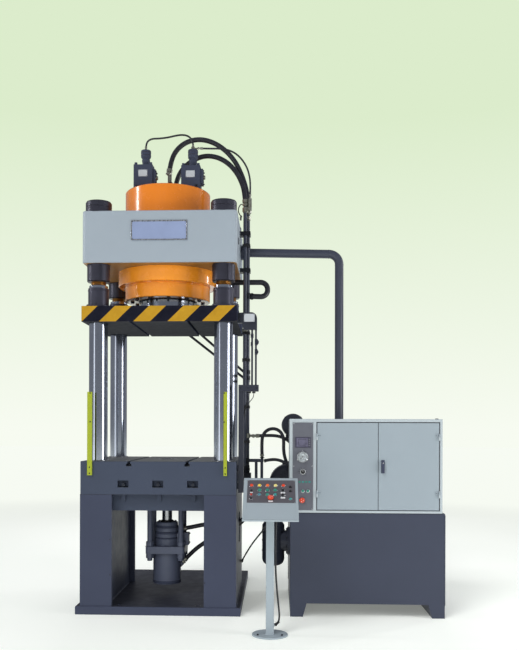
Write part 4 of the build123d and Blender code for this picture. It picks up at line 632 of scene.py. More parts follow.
# -------------------------------------------------------------- valve blocks
s = Shape("valve_details")
for x0, x1, top, cx in ((-282.0, -115.0, 3868.0, -184.0), (138.0, 305.0, 3856.0, 235.0)):
    lx = cx - 16
    s.box((lx - 39, -182.2, 3762 + (top - 3868)), (lx + 39, -180, 3820 + (top - 3868)), S_LABEL, 0.6)
    for dx in (-34, 34):
        for dz in (5, 53):
            s.lathe([(2.6, 0), (2, 1.2), (0, 1.6)], (lx + dx, -182.2, 3762 + (top - 3868) + dz), (0, -1, 0), S_BOLT, 12)
    mid = (x0 + x1) / 2
    for dx in (-(x1 - x0) / 2 + 18, (x1 - x0) / 2 - 18):
        for dy in (-57, 57):
            s.lathe([(8, 0), (7.4, -8), (0, -8.5)], (mid + dx, -105 + dy, top + 20.4), (0, 0, 1), S_BOLT, 6)
            s.lathe([(15.5, 0), (15.5, 2.5), (13, 2.5)], (mid + dx, -105 + dy, top), (0, 0, 1), S_BOLT, 28)
    # plugs low on the block's front, and the pilot plate's screws and cap
    for dx in (-52, 52):
        s.lathe([(11, 0), (11, 4), (9, 6), (5, 6), (4.6, 2), (0, 2)], (mid + dx, -180, 3676), (0, -1, 0), S_BOLT, 24)
    for dy in (-32, 32):
        for dz in (-50, 50):
            s.screw(6.5, 8, (x1 + 24, -120 + dy, 3763 + dz), (1, 0, 0))
    s.lathe([(20, 0), (20, 8), (17, 11), (17, 16), (0, 17)], (x1 + 24, -120, 3763), (1, 0, 0), S_ZINC, 32)
    # wrench flats and a rolled ring on the adapter
    s.hexagon(74, (cx, -105, top + 2), (0, 0, 1), 9, S_DARK, 1.0)
    s.lathe([(44, 0), (45.2, 1.5), (45.2, 5), (44, 6.5)], (cx, -105, 3962), (0, 0, 1), S_DARK, 48)
    s.lathe([(44, 0), (45.2, 1.5), (45.2, 5), (44, 6.5)], (cx, -105, 3988), (0, 0, 1), S_DARK, 48)
s.done("frame", "frame_paint")

line("gauge_line", [(660, 14, 3452), (636, 8, 3476), (632, 4, 3515), (644, 2, 3548), (664, 2, 3562), (682, 4, 3546), (690, 8, 3510), (699, 14, 3478)],
     9, R_CABLE, slot="cable_jacket")
s = Shape("gauge_line_ends")
s.lathe([(9, -6), (9, 10), (6, 12), (6, 18), (0, 18)], (654, 16, 3444), (0.5, -0.1, 0.8), S_ZINC, 24)
s.lathe([(10, 0), (10, 12), (7, 14), (7, 20), (0, 20)], (707, 16, 3462), (-0.45, -0.1, 0.85), S_ZINC, 24)
s.box((646, 4, 3420), (662, 30, 3446), S_ZINC, 2)
s.done("frame", "plated_steel")

# ------------------------------------------------------------- riser pipes
s = Shape("riser_clamps")
for z in (3180, 2400, 2160, 1740, 1430):
    s.box((676, -47, z - 12), (742, 50, z + 12), M_BLACK, 4)
    s.box((672, -10, z - 16), (680, 14, z + 16), P_MOTOR, 1.5)
    for y in (-40, 43):
        s.screw(5, 6, (709, y, z + 12), (0, 0, 1))
s.done("frame", "black_plastic")

s = Shape("riser_unions")
for (x, y), tops in (((696, -25), (3526, 2450)), ((720, 27), (3468, 2560))):
    for z in tops:
        s.hexagon(44, (x, y, z - 44), (0, 0, 1), 30, S_ZINC, 2)
        s.lathe([(17, -6), (20.5, -4), (20.5, 0), (17, 2)], (x, y, z - 48), (0, 0, 1), S_ZINC, 32)
s.done("frame", "plated_steel")

# pipe flange screws and weld rings on the prefill pipe
s = Shape("prefill_details")
for i in range(6):
    a = math.radians(60 * i + 12)
    s.bolt(8, 12, (674, 150 + 54 * math.cos(a), 3156 + 54 * math.sin(a)), (1, 0, 0))
    s.bolt(8, 12, (1550 + 58 * math.cos(a), 150 + 58 * math.sin(a), 877), (0, 0, 1))
s.lathe([(39, 0), (44, 1), (43, 5), (39.4, 8)], (674, 150, 3155.6), (1, 0, -0.0224), P_PIPE, 64)
s.lathe([(39, 0), (44, 1), (43, 5), (39.4, 8)], (1550, 150, 877), (0, 0, 1), P_PIPE, 64)
s.lathe([(38.8, 0), (40.4, 1.5), (40.9, 4), (40.4, 6.5), (38.8, 8)], (1447, 150, 3138.3), (1, 0, -0.0224), P_PIPE, 64)
s.lathe([(38.8, 0), (40.4, 1.5), (40.9, 4), (40.4, 6.5), (38.8, 8)], (1546.2, 150, 3034), (0, 0, 1), P_PIPE, 64)
s.done("frame", "pipe_paint")

# ------------------------------------------------------------------- slide
s = Shape("arm_details")
s.box((708, -514.6, 2436), (796, -512, 2502), S_LABEL, 0.8)
for dx in (714, 790):
    for dz in (2442, 2496):
        s.lathe([(2.8, 0), (2.2, 1.2), (0, 1.6)], (dx, -514.6, dz), (0, -1, 0), S_BOLT, 12)
for z in (2450, 2500):
    s.screw(9, 9, (668, -512, z), (0, -1, 0))
# clamp screws on the trip cams
for x, z in ((808, 2262), (808, 2284), (808, 2182), (808, 2200), (774, 2326), (771, 2256)):
    s.screw(5, 5, (x, -461, z), (0, -1, 0))
# rollers' ramps: slanted faces on the cams
for x, z0, z1, depth in ((821, 2248, 2298, 9), (819, 2168, 2214, 8)):
    s.prism([(0, 6), (depth, 16), (depth, z1 - z0 - 16), (0, z1 - z0 - 6)], (x, -456, z0), (1, 0, 0), (0, 0, 1), -20, P_MOTOR, 1)
s.done("slide_body", "frame_paint")

s = Shape("slot_covers")
# striped cover plates over the front ends of the slide's slots
for x in (-243, 243):
    s.box((x - 32, -548.6, 2439), (x + 32, -547.0, 2486), P_SLIDE)
s.done("slide_body", "slide_paint")

s = Shape("slide_details")
# stop blocks on the slide's rear corners and grease nipples on its side
for x in (-600, 600):
    s.screw(16, 12, (x, 200, 2568), (0, 0, 1))
    s.screw(16, 12, (x, -200, 2568), (0, 0, 1))
for y in (-433, 433):
    for x, way in ((-652, -1), (652, 1)):
        s.lathe([(6, 0), (6, 6), (3.4, 8), (3.4, 12), (4.6, 14), (3.6, 17), (0, 18)], (x, y + 70, 2520), (way, 0, 0), S_ZINC, 16)
# ring where the ram meets the slide
s.lathe([(245.6, 0), (286, 0), (288, 2), (288, 20), (284, 24), (246, 24)], (0, 0, 2568), (0, 0, 1), S_DARK, 128)
for i in range(12):
    a = math.radians(30 * i + 15)
    s.screw(9, 9, (267 * math.cos(a), 267 * math.sin(a), 2592), (0, 0, 1))
s.done("slide_body", "dark_steel")

# ------------------------------------------------------------- switch post
s = Shape("switch_details")
for z in (1052, 1078, 1202, 1228):
    s.bolt(6, 7, (706, -430, z), (1, 0, 0))
# two limit switches under the head, with roller levers, in reach of the cams
for x, y in ((788, -408), (750, -408)):
    s.box((x - 14, y + 2, 1846), (x + 14, y + 20, 1906), M_BLACK, 2)
    s.box((x - 12, y - 1, 1858), (x + 12, y + 3, 1894), S_TRIM, 1)
    s.lathe([(4, 0), (4, 7), (0, 7)], (x, y - 2, 1898), (0, -1, 0), S_BRIGHT, 16)
for x in (680, 740, 812):
    s.screw(5, 5, (x, -482, 1886), (0, -1, 0))
s.done("frame", "frame_paint")
line("switch_wire_1", [(788, -400, 1846), (787, -396, 1815), (762, -404, 1782), (736, -420, 1752), (716, -428, 1712), (708, -430, 1640)],
     6, R_CABLE, slot="cable_jacket")
line("switch_wire_2", [(750, -400, 1846), (749, -398, 1820), (738, -404, 1790), (722, -416, 1750), (711, -424, 1710), (708, -430, 1670)],
     6, R_CABLE, slot="cable_jacket")

# ---------------------------------------------------------- light barriers
s = Shape("barrier_details")
for x, w in ((-567, 20.4), (560, 14.4)):
    # end caps and fixing screws
    s.box((x - w, -600.5, 1842), (x + w, -581.7, 1847.5), P_STRIP, 1.5)
    s.box((x - w, -600.5, 1156.5), (x + w, -581.7, 1164), P_STRIP, 1.5)
    for dx, z in ((0, 1173), (0, 1223), (5 if x < 0 else -9, 1600), (5 if x < 0 else -9, 1838)):
        s.lathe([(5.6, 0), (5.6, 1.6), (4.6, 2.6), (2.6, 2.6), (2.4, 1.2), (0, 1.2)], (x + dx, -600, z), (0, -1, 0), M_BLACK, 20)
s.done("frame", "barrier_yellow")

# --------------------------------------------------------------------- bed
s = Shape("bed_details")
# dark strips of painted shadow in the joint between the bed and the legs, all round
s.box((-650.5, -582.7, 995.4), (650.5, -582, 998.0), P_JOINT_SHADOW)
s.box((-650.7, -582, 995.4), (-650, 534, 998.0), P_JOINT_SHADOW)
s.box((650, -582, 995.4), (650.7, 534, 998.0), P_JOINT_SHADOW)
# three small dark discs on the legs' front, in the painted shadow colour
for x, z in ((-399, 623), (-398, 331), (392, 271)):
    s.lathe([(6, 0), (6, 1), (5, 1.5), (3, 1.5), (2.6, 0.4), (0, 0.4)], (x, -582, z), (0, -1, 0), P_JOINT_SHADOW, 20)
# bore ring for the ejector and cover plates of the pockets' studs
s.lathe([(64.9, -1), (66, 0.8), (84, 0.8), (86, -1)], (0, 0, 1272), (0, 0, 1), S_BRIGHT, 96)
for x in (-290, 0, 290):
    s.hexagon(24, (x, -564, 1078), (0, -1, 0), 7, S_BOLT, 1)
# column collars at the bed
for x in (-531.5, 531.5):
    for y in (-433, 433):
        s.lathe([(79.2, 0), (92, 0), (92, 4), (88, 8), (79.2, 8)], (x, y, 1272), (0, 0, 1), S_BRIGHT, 64)
s.done("frame", "frame_paint")

s = Shape("stand_details")
# fillet welds along the feet of the legs, and between leg and floor plate
def weld(shape, a, b, normal, size, material):
    a, b = Vector(a), Vector(b)
    along = (b - a).normalized()
    n = Vector(normal).normalized()
    up = n.cross(along)
    if up.z < 0:
        up = -up
    steps = max(2, int((b - a).length / 14))
    rings = []
    for i in range(steps + 1):
        c = a.lerp(b, i / steps)
        k = size * (1 + 0.10 * math.sin(i * 2.399))
        rings.append([shape.bm.verts.new(c + n * k), shape.bm.verts.new(c + (n + up) * k * 0.56), shape.bm.verts.new(c + up * k), shape.bm.verts.new(c - n * 0.5)])
    faces = [shape.bm.faces.new(rings[0]), shape.bm.faces.new(rings[-1][::-1])]
    for p, q in zip(rings, rings[1:]):
        for i in range(4):
            j = (i + 1) % 4
            faces.append(shape.bm.faces.new((p[i], q[i], q[j], p[j])))
    shape._close(faces, material)
for x0, x1 in ((-650, -384), (384, 650)):
    weld(s, (x0, -582, 68), (x1, -582, 68), (0, -1, 0), 7, P_DARK)
    weld(s, (x0, 534, 68), (x1, 534, 68), (0, 1, 0), 8, P_DARK)
for x, way in ((-650, -1), (650, 1)):
    weld(s, (x, -582, 68), (x, 534, 68), (way, 0, 0), 8, P_DARK)
for x, way in ((-430, 1), (430, -1)):
    weld(s, (x, -542, 68), (x, 494, 68), (way, 0, 0), 8, P_DARK)
# anchor washers and nuts are left off: the holes get turned rims
for x in (-330, 330):
    for y in (-520, 1090):
        s.lathe([(15.2, -0.5), (16, 0.8), (25, 0.8), (26, -0.5)], (x, y, 68), (0, 0, 1), S_BOLT, 48)
s.done("frame", "frame_paint")

# ----------------------------------------------------------------- ejector
s = Shape("ejector_details")
s.lathe([(98, 0), (101, 2), (101, 14), (97, 20), (97, 26)], (0, 0, 657), (0, 0, 1), P_DARK, 96)
s.lathe([(104, 0), (108, 2), (108, 12), (104, 14)], (0, 0, 560), (0, 0, 1), P_DARK, 96)
s.lathe([(104, 0), (110, 2), (110, 20), (104, 22)], (0, 0, 604), (0, 0, 1), P_DARK, 96)
s.lathe([(46, 0), (58, 0), (60, 3), (60, 8), (52, 14), (46, 15)], (0, 0, 711), (0, 0, 1), M_BLACK, 72)
for i in range(8):
    a = math.radians(45 * i + 22.5)
    s.screw(8, 8, (78 * math.cos(a), 78 * math.sin(a), 711), (0, 0, 1))
s.lathe([(124, 0), (127.5, 2), (127.5, 20), (124, 22)], (0, 0, 170), (0, 0, 1), P_DARK, 96)
s.lathe([(0, 0), (112, 0), (118, 4), (122, 10)], (0, 0, 160), (0, 0, 1), P_DARK, 96)
for x in (-138, 138):
    for y in (-118, 118):
        s.lathe([(39, -5), (39, 0), (30, 0)], (x, y, 503), (0, 0, 1), S_BOLT, 32)
        s.lathe([(23, 0), (20, 4), (0, 4)], (x, y, 378), (0, 0, -1), P_DARK, 32)
for dy in (-30, 30):
    for dz in (520, 600):
        s.screw(7, 8, (198, dy, dz), (1, 0, 0))
s.done("frame", "frame_paint")

# ------------------------------------------------------------------ motors
def motor(shape, x, z, y0, y1, r, fins, cowl):
    """An electric motor lying along Y: fan cowl in front, ribbed body, end shield behind."""
    # body with straight cooling ribs
    outline = []
    for i in range(fins):
        for part, radius in ((0.0, 0.885), (0.30, 0.885), (0.36, 0.985), (0.64, 0.985), (0.70, 0.885)):
            a = 2 * math.pi * (i + part) / fins
            outline.append((r * radius * math.cos(a), r * radius * math.sin(a)))
    shape.prism(outline, (x, y0 + cowl - 2, z), (1, 0, 0), (0, 0, 1), -(y1 - y0 - cowl - 22), P_MOTOR)
    # fan cowl: domed sheet with a rolled rim
    c = cowl
    shape.lathe(
        [(0, 0), (r * 0.30, 0), (r * 0.62, 2), (r * 0.86, 9), (r * 0.96, 22), (r * 0.99, 40), (r * 0.99, c - 8), (r, c - 6), (r, c), (r * 0.96, c), (r * 0.5, c)],
        (x, y0, z), (0, 1, 0), P_MOTOR, 96,
    )
    # grille: rings of raised bars on the cowl's face, with dark slots between
    for k in range(5):
        q = r * (0.20 + 0.11 * k)
        shape.lathe([(q, 1.5), (q, -2.2), (q + r * 0.03, -2.2), (q + r * 0.03, 1.5)], (x, y0 + (0.5 if k < 4 else 2.2), z), (0, 1, 0), P_MOTOR, 72)
    for i in range(12):
        a = 2 * math.pi * i / 12
        d = Vector((math.cos(a), 0, math.sin(a)))
        side = Vector((-math.sin(a), 0, math.cos(a)))
        shape.prism([(r * 0.18, -2), (r * 0.66, -2), (r * 0.66, 2), (r * 0.18, 2)], (x, y0 + 1.4, z), d, side, 3.2, P_MOTOR)
    shape.screw(6, 5, (x, y0 + 0.5, z), (0, -1, 0))
    for i in range(4):
        a = math.radians(45 + 90 * i)
        shape.screw(5, 4, (x + r * 0.985 * math.cos(a), y0 + c - 14, z + r * 0.985 * math.sin(a)), (math.cos(a), 0, math.sin(a)))
    # end shield with its screws
    shape.lathe(
        [(r * 0.4, -24), (r * 0.93, -24), (r * 0.96, -20), (r * 0.96, -8), (r * 0.80, -4), (r * 0.42, -1), (r * 0.40, 0), (r * 0.16, 0), (r * 0.16, -24), (r * 0.4, -24)],
        (x, y1, z), (0, 1, 0), P_MOTOR, 96,
    )
    for i in range(4):
        a = math.radians(45 + 90 * i)
        shape.bolt(6, 8, (x + r * 0.88 * math.cos(a), y1 - 7, z + r * 0.88 * math.sin(a)), (0, 1, 0))


s = Shape("main_motor_body")
motor(s, 1085, 1058, 66, 330, 168, 44, 74)
for x in (990, 1180):
    s.box((x - 22, 128, 875), (x + 22, 308, 955), P_MOTOR, 5)
    s.box((x - 34, 138, 875), (x + 34, 178, 893), P_MOTOR, 3)
    s.box((x - 34, 258, 875), (x + 34, 298, 893), P_MOTOR, 3)
    for y in (158, 278):
        s.bolt(9, 12, (x + (24 if x > 1085 else -24), y, 893), (0, 0, 1))
s.box((965, 86, 855), (1215, 532, 875), P_MOTOR, 3)
s.box((1025, 430, 875), (1145, 510, 980), P_MOTOR, 4)
# terminal box with its lid and gland, on top
s.box((1035, 190, 1200), (1135, 292, 1238), P_MOTOR, 5)
s.box((1030, 185, 1238), (1140, 297, 1246), P_MOTOR, 3)
for x in (1040, 1130):
    for y in (195, 287):
        s.screw(4.5, 4, (x, y, 1246), (0, 0, 1))
s.lathe([(14, 0), (14, 12), (11, 14), (11, 20), (0, 20)], (1135, 241, 1219), (1, 0, 0), S_ZINC, 24)
s.done("frame", "motor_paint", ("main_motor",))

s = Shape("pilot_motor_body")
motor(s, 1131, 1580, 110, 310, 105, 36, 52)
s.box((1266, 120, 855), (1346, 300, 875), P_MOTOR, 3)
s.box((1276, 150, 875), (1336, 270, 1475), P_MOTOR, 5)
s.box((1066, 150, 1455), (1336, 270, 1485), P_MOTOR, 4)
for x in (1078, 1184):
    s.box((x - 12, 160, 1483), (x + 12, 260, 1512), P_MOTOR, 3)
for y in (135, 285):
    s.bolt(8, 10, (1280, y, 875), (0, 0, 1))
    s.bolt(8, 10, (1332, y, 875), (0, 0, 1))
s.box((1226, 180, 1545), (1256, 250, 1610), P_MOTOR, 4)
s.done("frame", "motor_paint", ("pilot_motor",))

s = Shape("pump_details")
s.lathe([(78, 0), (81, 2), (81, 12), (78, 14)], (1085, 440, 1058), (0, 1, 0), P_MOTOR, 64)
s.lathe([(56, 0), (56, 5), (50, 8), (0, 8)], (1085, 527, 1058), (0, 1, 0), P_MOTOR, 48)
for i in range(6):
    a = math.radians(60 * i)
    s.bolt(6.5, 8, (1085 + 66 * math.cos(a), 527, 1058 + 66 * math.sin(a)), (0, 1, 0))
s.box((1060, 450, 1128), (1110, 500, 1150), P_MOTOR, 3)
s.lathe([(15, 0), (15, 16), (12, 18), (12, 26), (0, 26)], (1085, 475, 1150), (0, 0, 1), S_ZINC, 6)
s.done("frame", "motor_paint")

s = Shape("coupling_details")
for i in range(8):
    a = math.radians(45 * i)
    c, d = math.cos(a), math.sin(a)
    s.lathe([(6, 0), (6, 1.6), (0, 1.6)], (1085 + 48 * c, 371, 1058 + 48 * d), (c, 0, d), M_BLACK, 16)
s.lathe([(48, 0), (49.6, 1), (49.6, 5), (48, 6)], (1085, 350, 1058), (0, 1, 0), S_BRIGHT, 64)
s.lathe([(48, 0), (49.6, 1), (49.6, 5), (48, 6)], (1085, 386, 1058), (0, 1, 0), S_BRIGHT, 64)
s.done("drive_body", "bright_steel")

s = Shape("filter_details")
for z in (470, 560, 650):
    s.lathe([(98, 0), (101, 2), (101, 12), (98, 14)], (955, -100, z), (0, 0, 1), P_MOTOR, 96)
s.lathe([(78, 0), (84, 2), (84, 16), (80, 20), (40, 20), (34, 26), (0, 26)], (955, -100, 774), (0, 0, 1), P_MOTOR, 96)
for i in range(6):
    a = math.radians(60 * i + 20)
    s.bolt(7, 9, (955 + 62 * math.cos(a), -100 + 62 * math.sin(a), 794), (0, 0, 1))
for i in range(8):
    a = math.radians(45 * i + 22.5)
    s.bolt(8, 10, (1077, -100 + 108 * math.cos(a), 560 + 108 * math.sin(a)), (-1, 0, 0))
s.done("frame", "motor_paint")

# ---------------------------------------------------------------- tank
s = Shape("tank_details")
# weld runs along the tank's upright edges, seam of the lid as a dark sheet of painted shadow, filler and level glass on
# its right side
for x in (1097, 2357):
    for y in (-565, 535):
        for k in range(52):
            z = 112 + k * 14.2
            s.lathe([(0, -7), (3.0, -5), (3.6, 0), (3.0, 5), (0, 7)], (x + (-0.6 if x < 1500 else 0.6), y + (-0.6 if y < 0 else 0.6), z), (0, 0, 1), P_TANK, 8)
s.box((1096.2, -65, 846), (2358, 536, 849), P_JOINT_SHADOW)
s.box((2357, 120, 330), (2361, 150, 620), S_TRIM, 1.5)
s.box((2361, 127, 350), (2364, 143, 600), M_GLASS, 1.0)
s.bolt(8, 9, (2361, 135, 340), (1, 0, 0))
s.bolt(8, 9, (2361, 135, 610), (1, 0, 0))
s.lathe([(44, 0), (44, 5), (34, 7), (34, 24), (50, 26), (52, 30), (52, 52), (46, 58), (0, 60)], (2180, 330, 855), (0, 0, 1), M_BLACK, 64)
for i in range(6):
    a = math.radians(60 * i)
    s.screw(4, 4, (2180 + 39 * math.cos(a), 330 + 39 * math.sin(a), 860), (0, 0, 1))
# clean-out cover on the tank's rear
s.lathe([(150, 0), (150, 6), (146, 8), (0, 8)], (1727, 535, 470), (0, 1, 0), P_TANK, 96)
for i in range(12):
    a = math.radians(30 * i)
    s.bolt(8, 10, (1727 + 136 * math.cos(a), 543, 470 + 136 * math.sin(a)), (0, 1, 0))
s.done("frame", "tank_paint")

# ----------------------------------------------------------------- cabinet
s = Shape("cabinet_trim")
# folded frame round the front, a touch proud of the doors
for x0, x1, z0, z1 in ((1090, 1111, 857, 1626), (2316, 2334, 857, 1626), (1111, 2316, 1604, 1626), (1111, 2316, 857, 874),
                       (1285, 1306, 874, 1604)):
    s.box((x0, -567.4, z0), (x1, -564.5, z1), P_CABINET, 1.0)
# dark strip of painted shadow in the joint below the cabinet's frame
s.box((1090.6, -568.2, 852.5), (2334.4, -563, 856.4), P_JOINT_SHADOW)
# dark strips in the gaps round the doors: painted shadow of the gaps
for x0, x1, z0, z1 in ((1309, 1315.4, 876, 1602), (1812.2, 1815.8, 880, 1598), (2308.4, 2314, 876, 1602), (1309, 2314, 1596.4, 1602.5), (1309, 2314, 876, 881.6)):
    s.box((x0, -565.9, z0), (x1, -564.6, z1), P_JOINT_SHADOW)
s.done("frame", "cabinet_paint")

s = Shape("strip_fascia_plate")
s.box((1115, -567.6, 878), (1281, -565, 1598), M_FASCIA, 1.2)
for x in (1123, 1273):
    for z in (887, 1240, 1589):
        s.lathe([(4, 0), (4, 1.4), (3, 2.2), (0, 2.2)], (x, -567.6, z), (0, -1, 0), S_TRIM, 16)
# display: bezel, recessed screen, and its four keys
s.box((1134, -572, 1392), (1262, -567.4, 1478), M_BEZEL, 2.5)
s.box((1146, -573.0, 1401), (1238, -571.6, 1470), M_SCREEN, 1.0)
for x0, x1, z0, z1 in ((1160, 1224, 1459, 1461), (1160, 1224, 1411, 1413), (1160, 1162, 1413, 1459), (1222, 1224, 1413, 1459)):
    s.box((x0, -573.4, z0), (x1, -572.9, z1), M_BLACK, 0.2)
for k in range(4):
    s.box((1244, -573.6, 1404 + 17 * k), (1256, -571.4, 1415 + 17 * k), M_FASCIA, 1.2)
# gauge flange screws, knob plate, indicator row, bezels of the lamps, stop button's ring
for i in range(3):
    a = math.radians(90 + 120 * i)
    s.lathe([(6, 0), (6, 2), (0, 2)], (1195 + 47 * math.cos(a), -567.6, 1316 + 47 * math.sin(a)), (0, -1, 0), S_TRIM, 20)
s.lathe([(17, 0), (23, 0), (23, 1.0), (17, 1.2)], (1198, -567.6, 1193), (0, -1, 0), S_TRIM, 48)
for i in range(9):
    a = math.radians(-45 + 33.75 * i)
    c, d = math.cos(a), math.sin(a)
    s.prism([(27, -0.8), (33, -0.8), (33, 0.8), (27, 0.8)], (1198, -567.6, 1193), (c, 0, d), (d, 0, -c), 0.5, M_WHITE)
for k in range(5):
    s.box((1136 + 27 * k, -570.5, 1104), (1154 + 27 * k, -567.4, 1116), M_TEAL if k % 2 == 0 else M_GREEN, 1.5)
for x, z in ((1198, 1035), (1240, 1035)):
    s.lathe([(11.4, 0), (15.5, 0), (15.5, 2.2), (13.6, 3.4), (11.4, 3.4)], (x, -567.6, z), (0, -1, 0), S_TRIM, 40)
s.lathe([(10.4, 0), (20, 0), (20, 0.5), (10.4, 0.5)], (1192, -567.4, 959), (0, -1, 0), M_BLACK, 48)
s.done("frame", "cabinet_paint")

s = Shape("gauge_dial")
s.lathe([(0, 0), (38.6, 0), (38.6, 1.2), (0, 1.2)], (1195, -577.0, 1316), (0, -1, 0), M_DIAL, 72)
for i in range(31):
    a = math.radians(225 - 9 * i)
    c, d = math.cos(a), math.sin(a)
    long = i % 5 == 0
    s.prism([(30 if long else 33, -0.7 if long else -0.35), (37, -0.7 if long else -0.35), (37, 0.7 if long else 0.35), (30 if long else 33, 0.7 if long else 0.35)],
            (1195, -578.2, 1316), (c, 0, d), (d, 0, -c), 0.35, M_RED if i >= 26 else M_BLACK)
s.lathe([(2.6, 0), (4.5, 0.4), (4.5, 2.2), (0, 2.6)], (1195, -585.2, 1316), (0, -1, 0), M_BLACK, 24)
s.done("frame", "gauge_metal")
s = Shape("gauge_window")
s.lathe([(0, 0), (39, 0), (39, 1.4), (0, 1.4)], (1195, -587.4, 1316), (0, -1, 0), M_GLASS, 64)
s.done("frame", "gauge_metal")
s = Shape("gauge_bezel")
s.lathe([(38.4, 0), (45.4, -6), (46, 2), (44, 4.6), (41, 4.8), (38.4, 2)], (1195, -588.0, 1316), (0, -1, 0), S_TRIM, 72)
s.done("frame", "gauge_metal")

# knob: ribbed skirt and a white pointer
s = Shape("strip_knob_grip")
for i in range(24):
    a = 2 * math.pi * i / 24
    c, d = math.cos(a), math.sin(a)
    s.lathe([(0, 0), (1.5, 0), (1.4, 14), (0, 15)], (1198 + 16.4 * c, -569, 1193 + 16.4 * d), (0, -1, 0), M_BLACK, 8)
s.box((1197.1, -587.6, 1196), (1198.9, -586.6, 1208), M_WHITE, 0.2)
s.done("strip_knob_body", "black_plastic")


def mushroom(name, body, place, axis, r, height, under, slot):
    shape = Shape(name)
    shape.lathe(
        [(r * 0.62, 0), (r * 0.9, under), (r, under + 2.5), (r, height * 0.62), (r * 0.9, height * 0.86), (r * 0.6, height), (0, height * 1.03)],
        place, axis, M_RED, 56,
    )
    for i in range(3):
        a = 2 * math.pi * i / 3
        u, v, w = basis(axis)
        o = Vector(place) + w * (height * 1.015)
        d = u * math.cos(a) + v * math.sin(a)
        e = w.cross(d)
        shape.prism([(r * 0.34, -1.1), (r * 0.60, -3.2), (r * 0.60, 3.2), (r * 0.34, 1.1)], o, d, e, 0.6, M_WHITE)
    shape.done(body, slot)


mushroom("strip_estop_cap", "strip_estop_body", (1192, -575.5, 959), (0, -1, 0), 22.4, 14.0, 1.5, "red_plastic")

# doors: hinges' caps and screws, lock plate
s = Shape("left_door_trim")
for z in (1010, 1480):
    s.lathe([(7.2, 0), (7.2, 1.5), (5, 3), (0, 3)], (1314, -572, z + 26), (0, 0, 1), S_TRIM, 24)
for z in (1018, 1488):
    for dx in (8, 22):
        s.lathe([(3, 0), (3, 0.8), (0, 1)], (1316 + dx, -568, z + 4), (0, -1, 0), S_BOLT, 12)
s.done("left_door_body", "cabinet_paint")
s = Shape("right_door_trim")
for z in (1010, 1480):
    s.lathe([(7.2, 0), (7.2, 1.5), (5, 3), (0, 3)], (2310, -572, z + 26), (0, 0, 1), S_TRIM, 24)
for z in (1018, 1488):
    for dx in (8, 22):
        s.lathe([(3, 0), (3, 0.8), (0, 1)], (2308 - dx, -568, z + 4), (0, -1, 0), S_BOLT, 12)
s.box((1838, -566.4, 1184), (1866, -564.5, 1292), M_HANDLE, 4)
s.done("right_door_body", "cabinet_paint")
s = Shape("door_handle_grip")
s.prism([(-9, -80), (-6, -83), (6, -83), (9, -80), (10.5, 12), (6, 20), (-6, 20), (-10.5, 12)], (1852, -575.5, 1268), (1, 0, 0), (0, 0, 1), 18.6, M_HANDLE, 2.2, 3)
s.lathe([(5.5, 0), (5.5, 1), (0, 1)], (1852, -594.1, 1268), (0, -1, 0), S_TRIM, 24)
s.done("door_handle_body", "black_plastic")

s = Shape("cabinet_side_details")
# louvres on the right side and lifting eyes on the roof
for k in range(10):
    z = 1180 + k * 26
    s.prism([(0, 0), (7, -9), (7, -11), (0, -2)], (2335, -400, z), (1, 0, 0), (0, 0, 1), -170, P_CABINET, 0.6)
for x in (1130, 2295):
    for y in (-525, -105):
        s.lathe([(14, 0), (14, 4), (9, 6), (0, 6)], (x, y, 1628), (0, 0, 1), S_BOLT, 24)
s.done("frame", "cabinet_paint")

# devices in the cabinet: faces and terminals, so that an open door shows switchgear
s = Shape("switchgear_faces")
for z, widths in ((1470, (72, 54, 54, 90, 36, 36, 72, 108, 54)), (1250, (90, 90, 90, 72, 72, 72, 54, 54)), (1030, (140, 110, 36, 36, 36, 36, 36, 36, 110))):
    x = 1380.0
    for n, width in enumerate(widths):
        y = -69 - 11 - 66
        s.box((x + 5, y - 3, z - 24), (x + width - 5, y + 0.5, z + 24), M_BLACK if n % 3 == 0 else M_GREY, 1.5)
        if n % 3 != 0:
            s.box((x + width / 2 - 5, y - 9, z - 9), (x + width / 2 + 5, y - 2, z + 9), M_BLACK if n % 2 else M_BLUE, 1.2)
        count = max(2, int(width / 18))
        for k in range(count):
            for dz in (-34, 34):
                s.lathe([(3.4, 0), (3.4, 1.2), (2.2, 1.2), (0, 0.4)], (x + (k + 0.5) * width / count, y, z + dz), (0, -1, 0), S_ZINC, 10)
        x += width + 12
for z in (1360, 1140, 925, 1565):
    s.box((1350, -118, z - 22), (2280, -80, z + 22), M_GREY, 2)
    for k in range(46):
        s.box((1362 + 20 * k, -118.6, z - 23), (1366 + 20 * k, -100, z + 23), M_GREY, 0.4)
s.done("frame", "switchgear_plastic")

# ----------------------------------------------------------------- console
CON_X = Vector((1, 0, 0))
CON_UP = Vector((0, 370, 270)).normalized()
CON_OUT = CON_X.cross(CON_UP)


def on_desk(u, v, h=0.0):
    return Vector((u, -1464, 899)) + CON_UP * v + CON_OUT * h


def plate(shape, u0, u1, v0, v1, thick, material, h=0.0, bevel=0.6):
    return shape.prism([(0, 0), (u1 - u0, 0), (u1 - u0, v1 - v0), (0, v1 - v0)], on_desk(u0, v0, h), CON_X, CON_UP, thick, material, bevel)


s = Shape("console_fascia")
plate(s, 765, 1121, 180, 435, 2.0, M_PANEL, 0.0, 0.8)
for u in (772, 1114):
    for v in (187, 428):
        s.lathe([(4, 0), (4, 1.4), (3, 2.2), (0, 2.2)], on_desk(u, v, 2.0), CON_OUT, S_TRIM, 16)
# title strip along the top, label plates over the rows, all blank
plate(s, 850, 1000, 404, 416, 0.8, M_PANEL, 2.0, 0.3)
for v in (345, 291, 244):
    for u in (796, 855, 915, 974, 1033):
        plate(s, u - 15, u + 15, v - 4, v + 3, 0.6, M_PANEL, 2.0, 0.2)
plate(s, 1012, 1046, 284, 298, 0.9, M_WHITE, 2.0, 0.3)
plate(s, 1012, 1046, 228, 242, 0.9, M_WHITE, 2.0, 0.3)
plate(s, 786, 806, 288, 298, 0.9, M_WHITE, 2.0, 0.3)
s.done("frame", "console_paint")

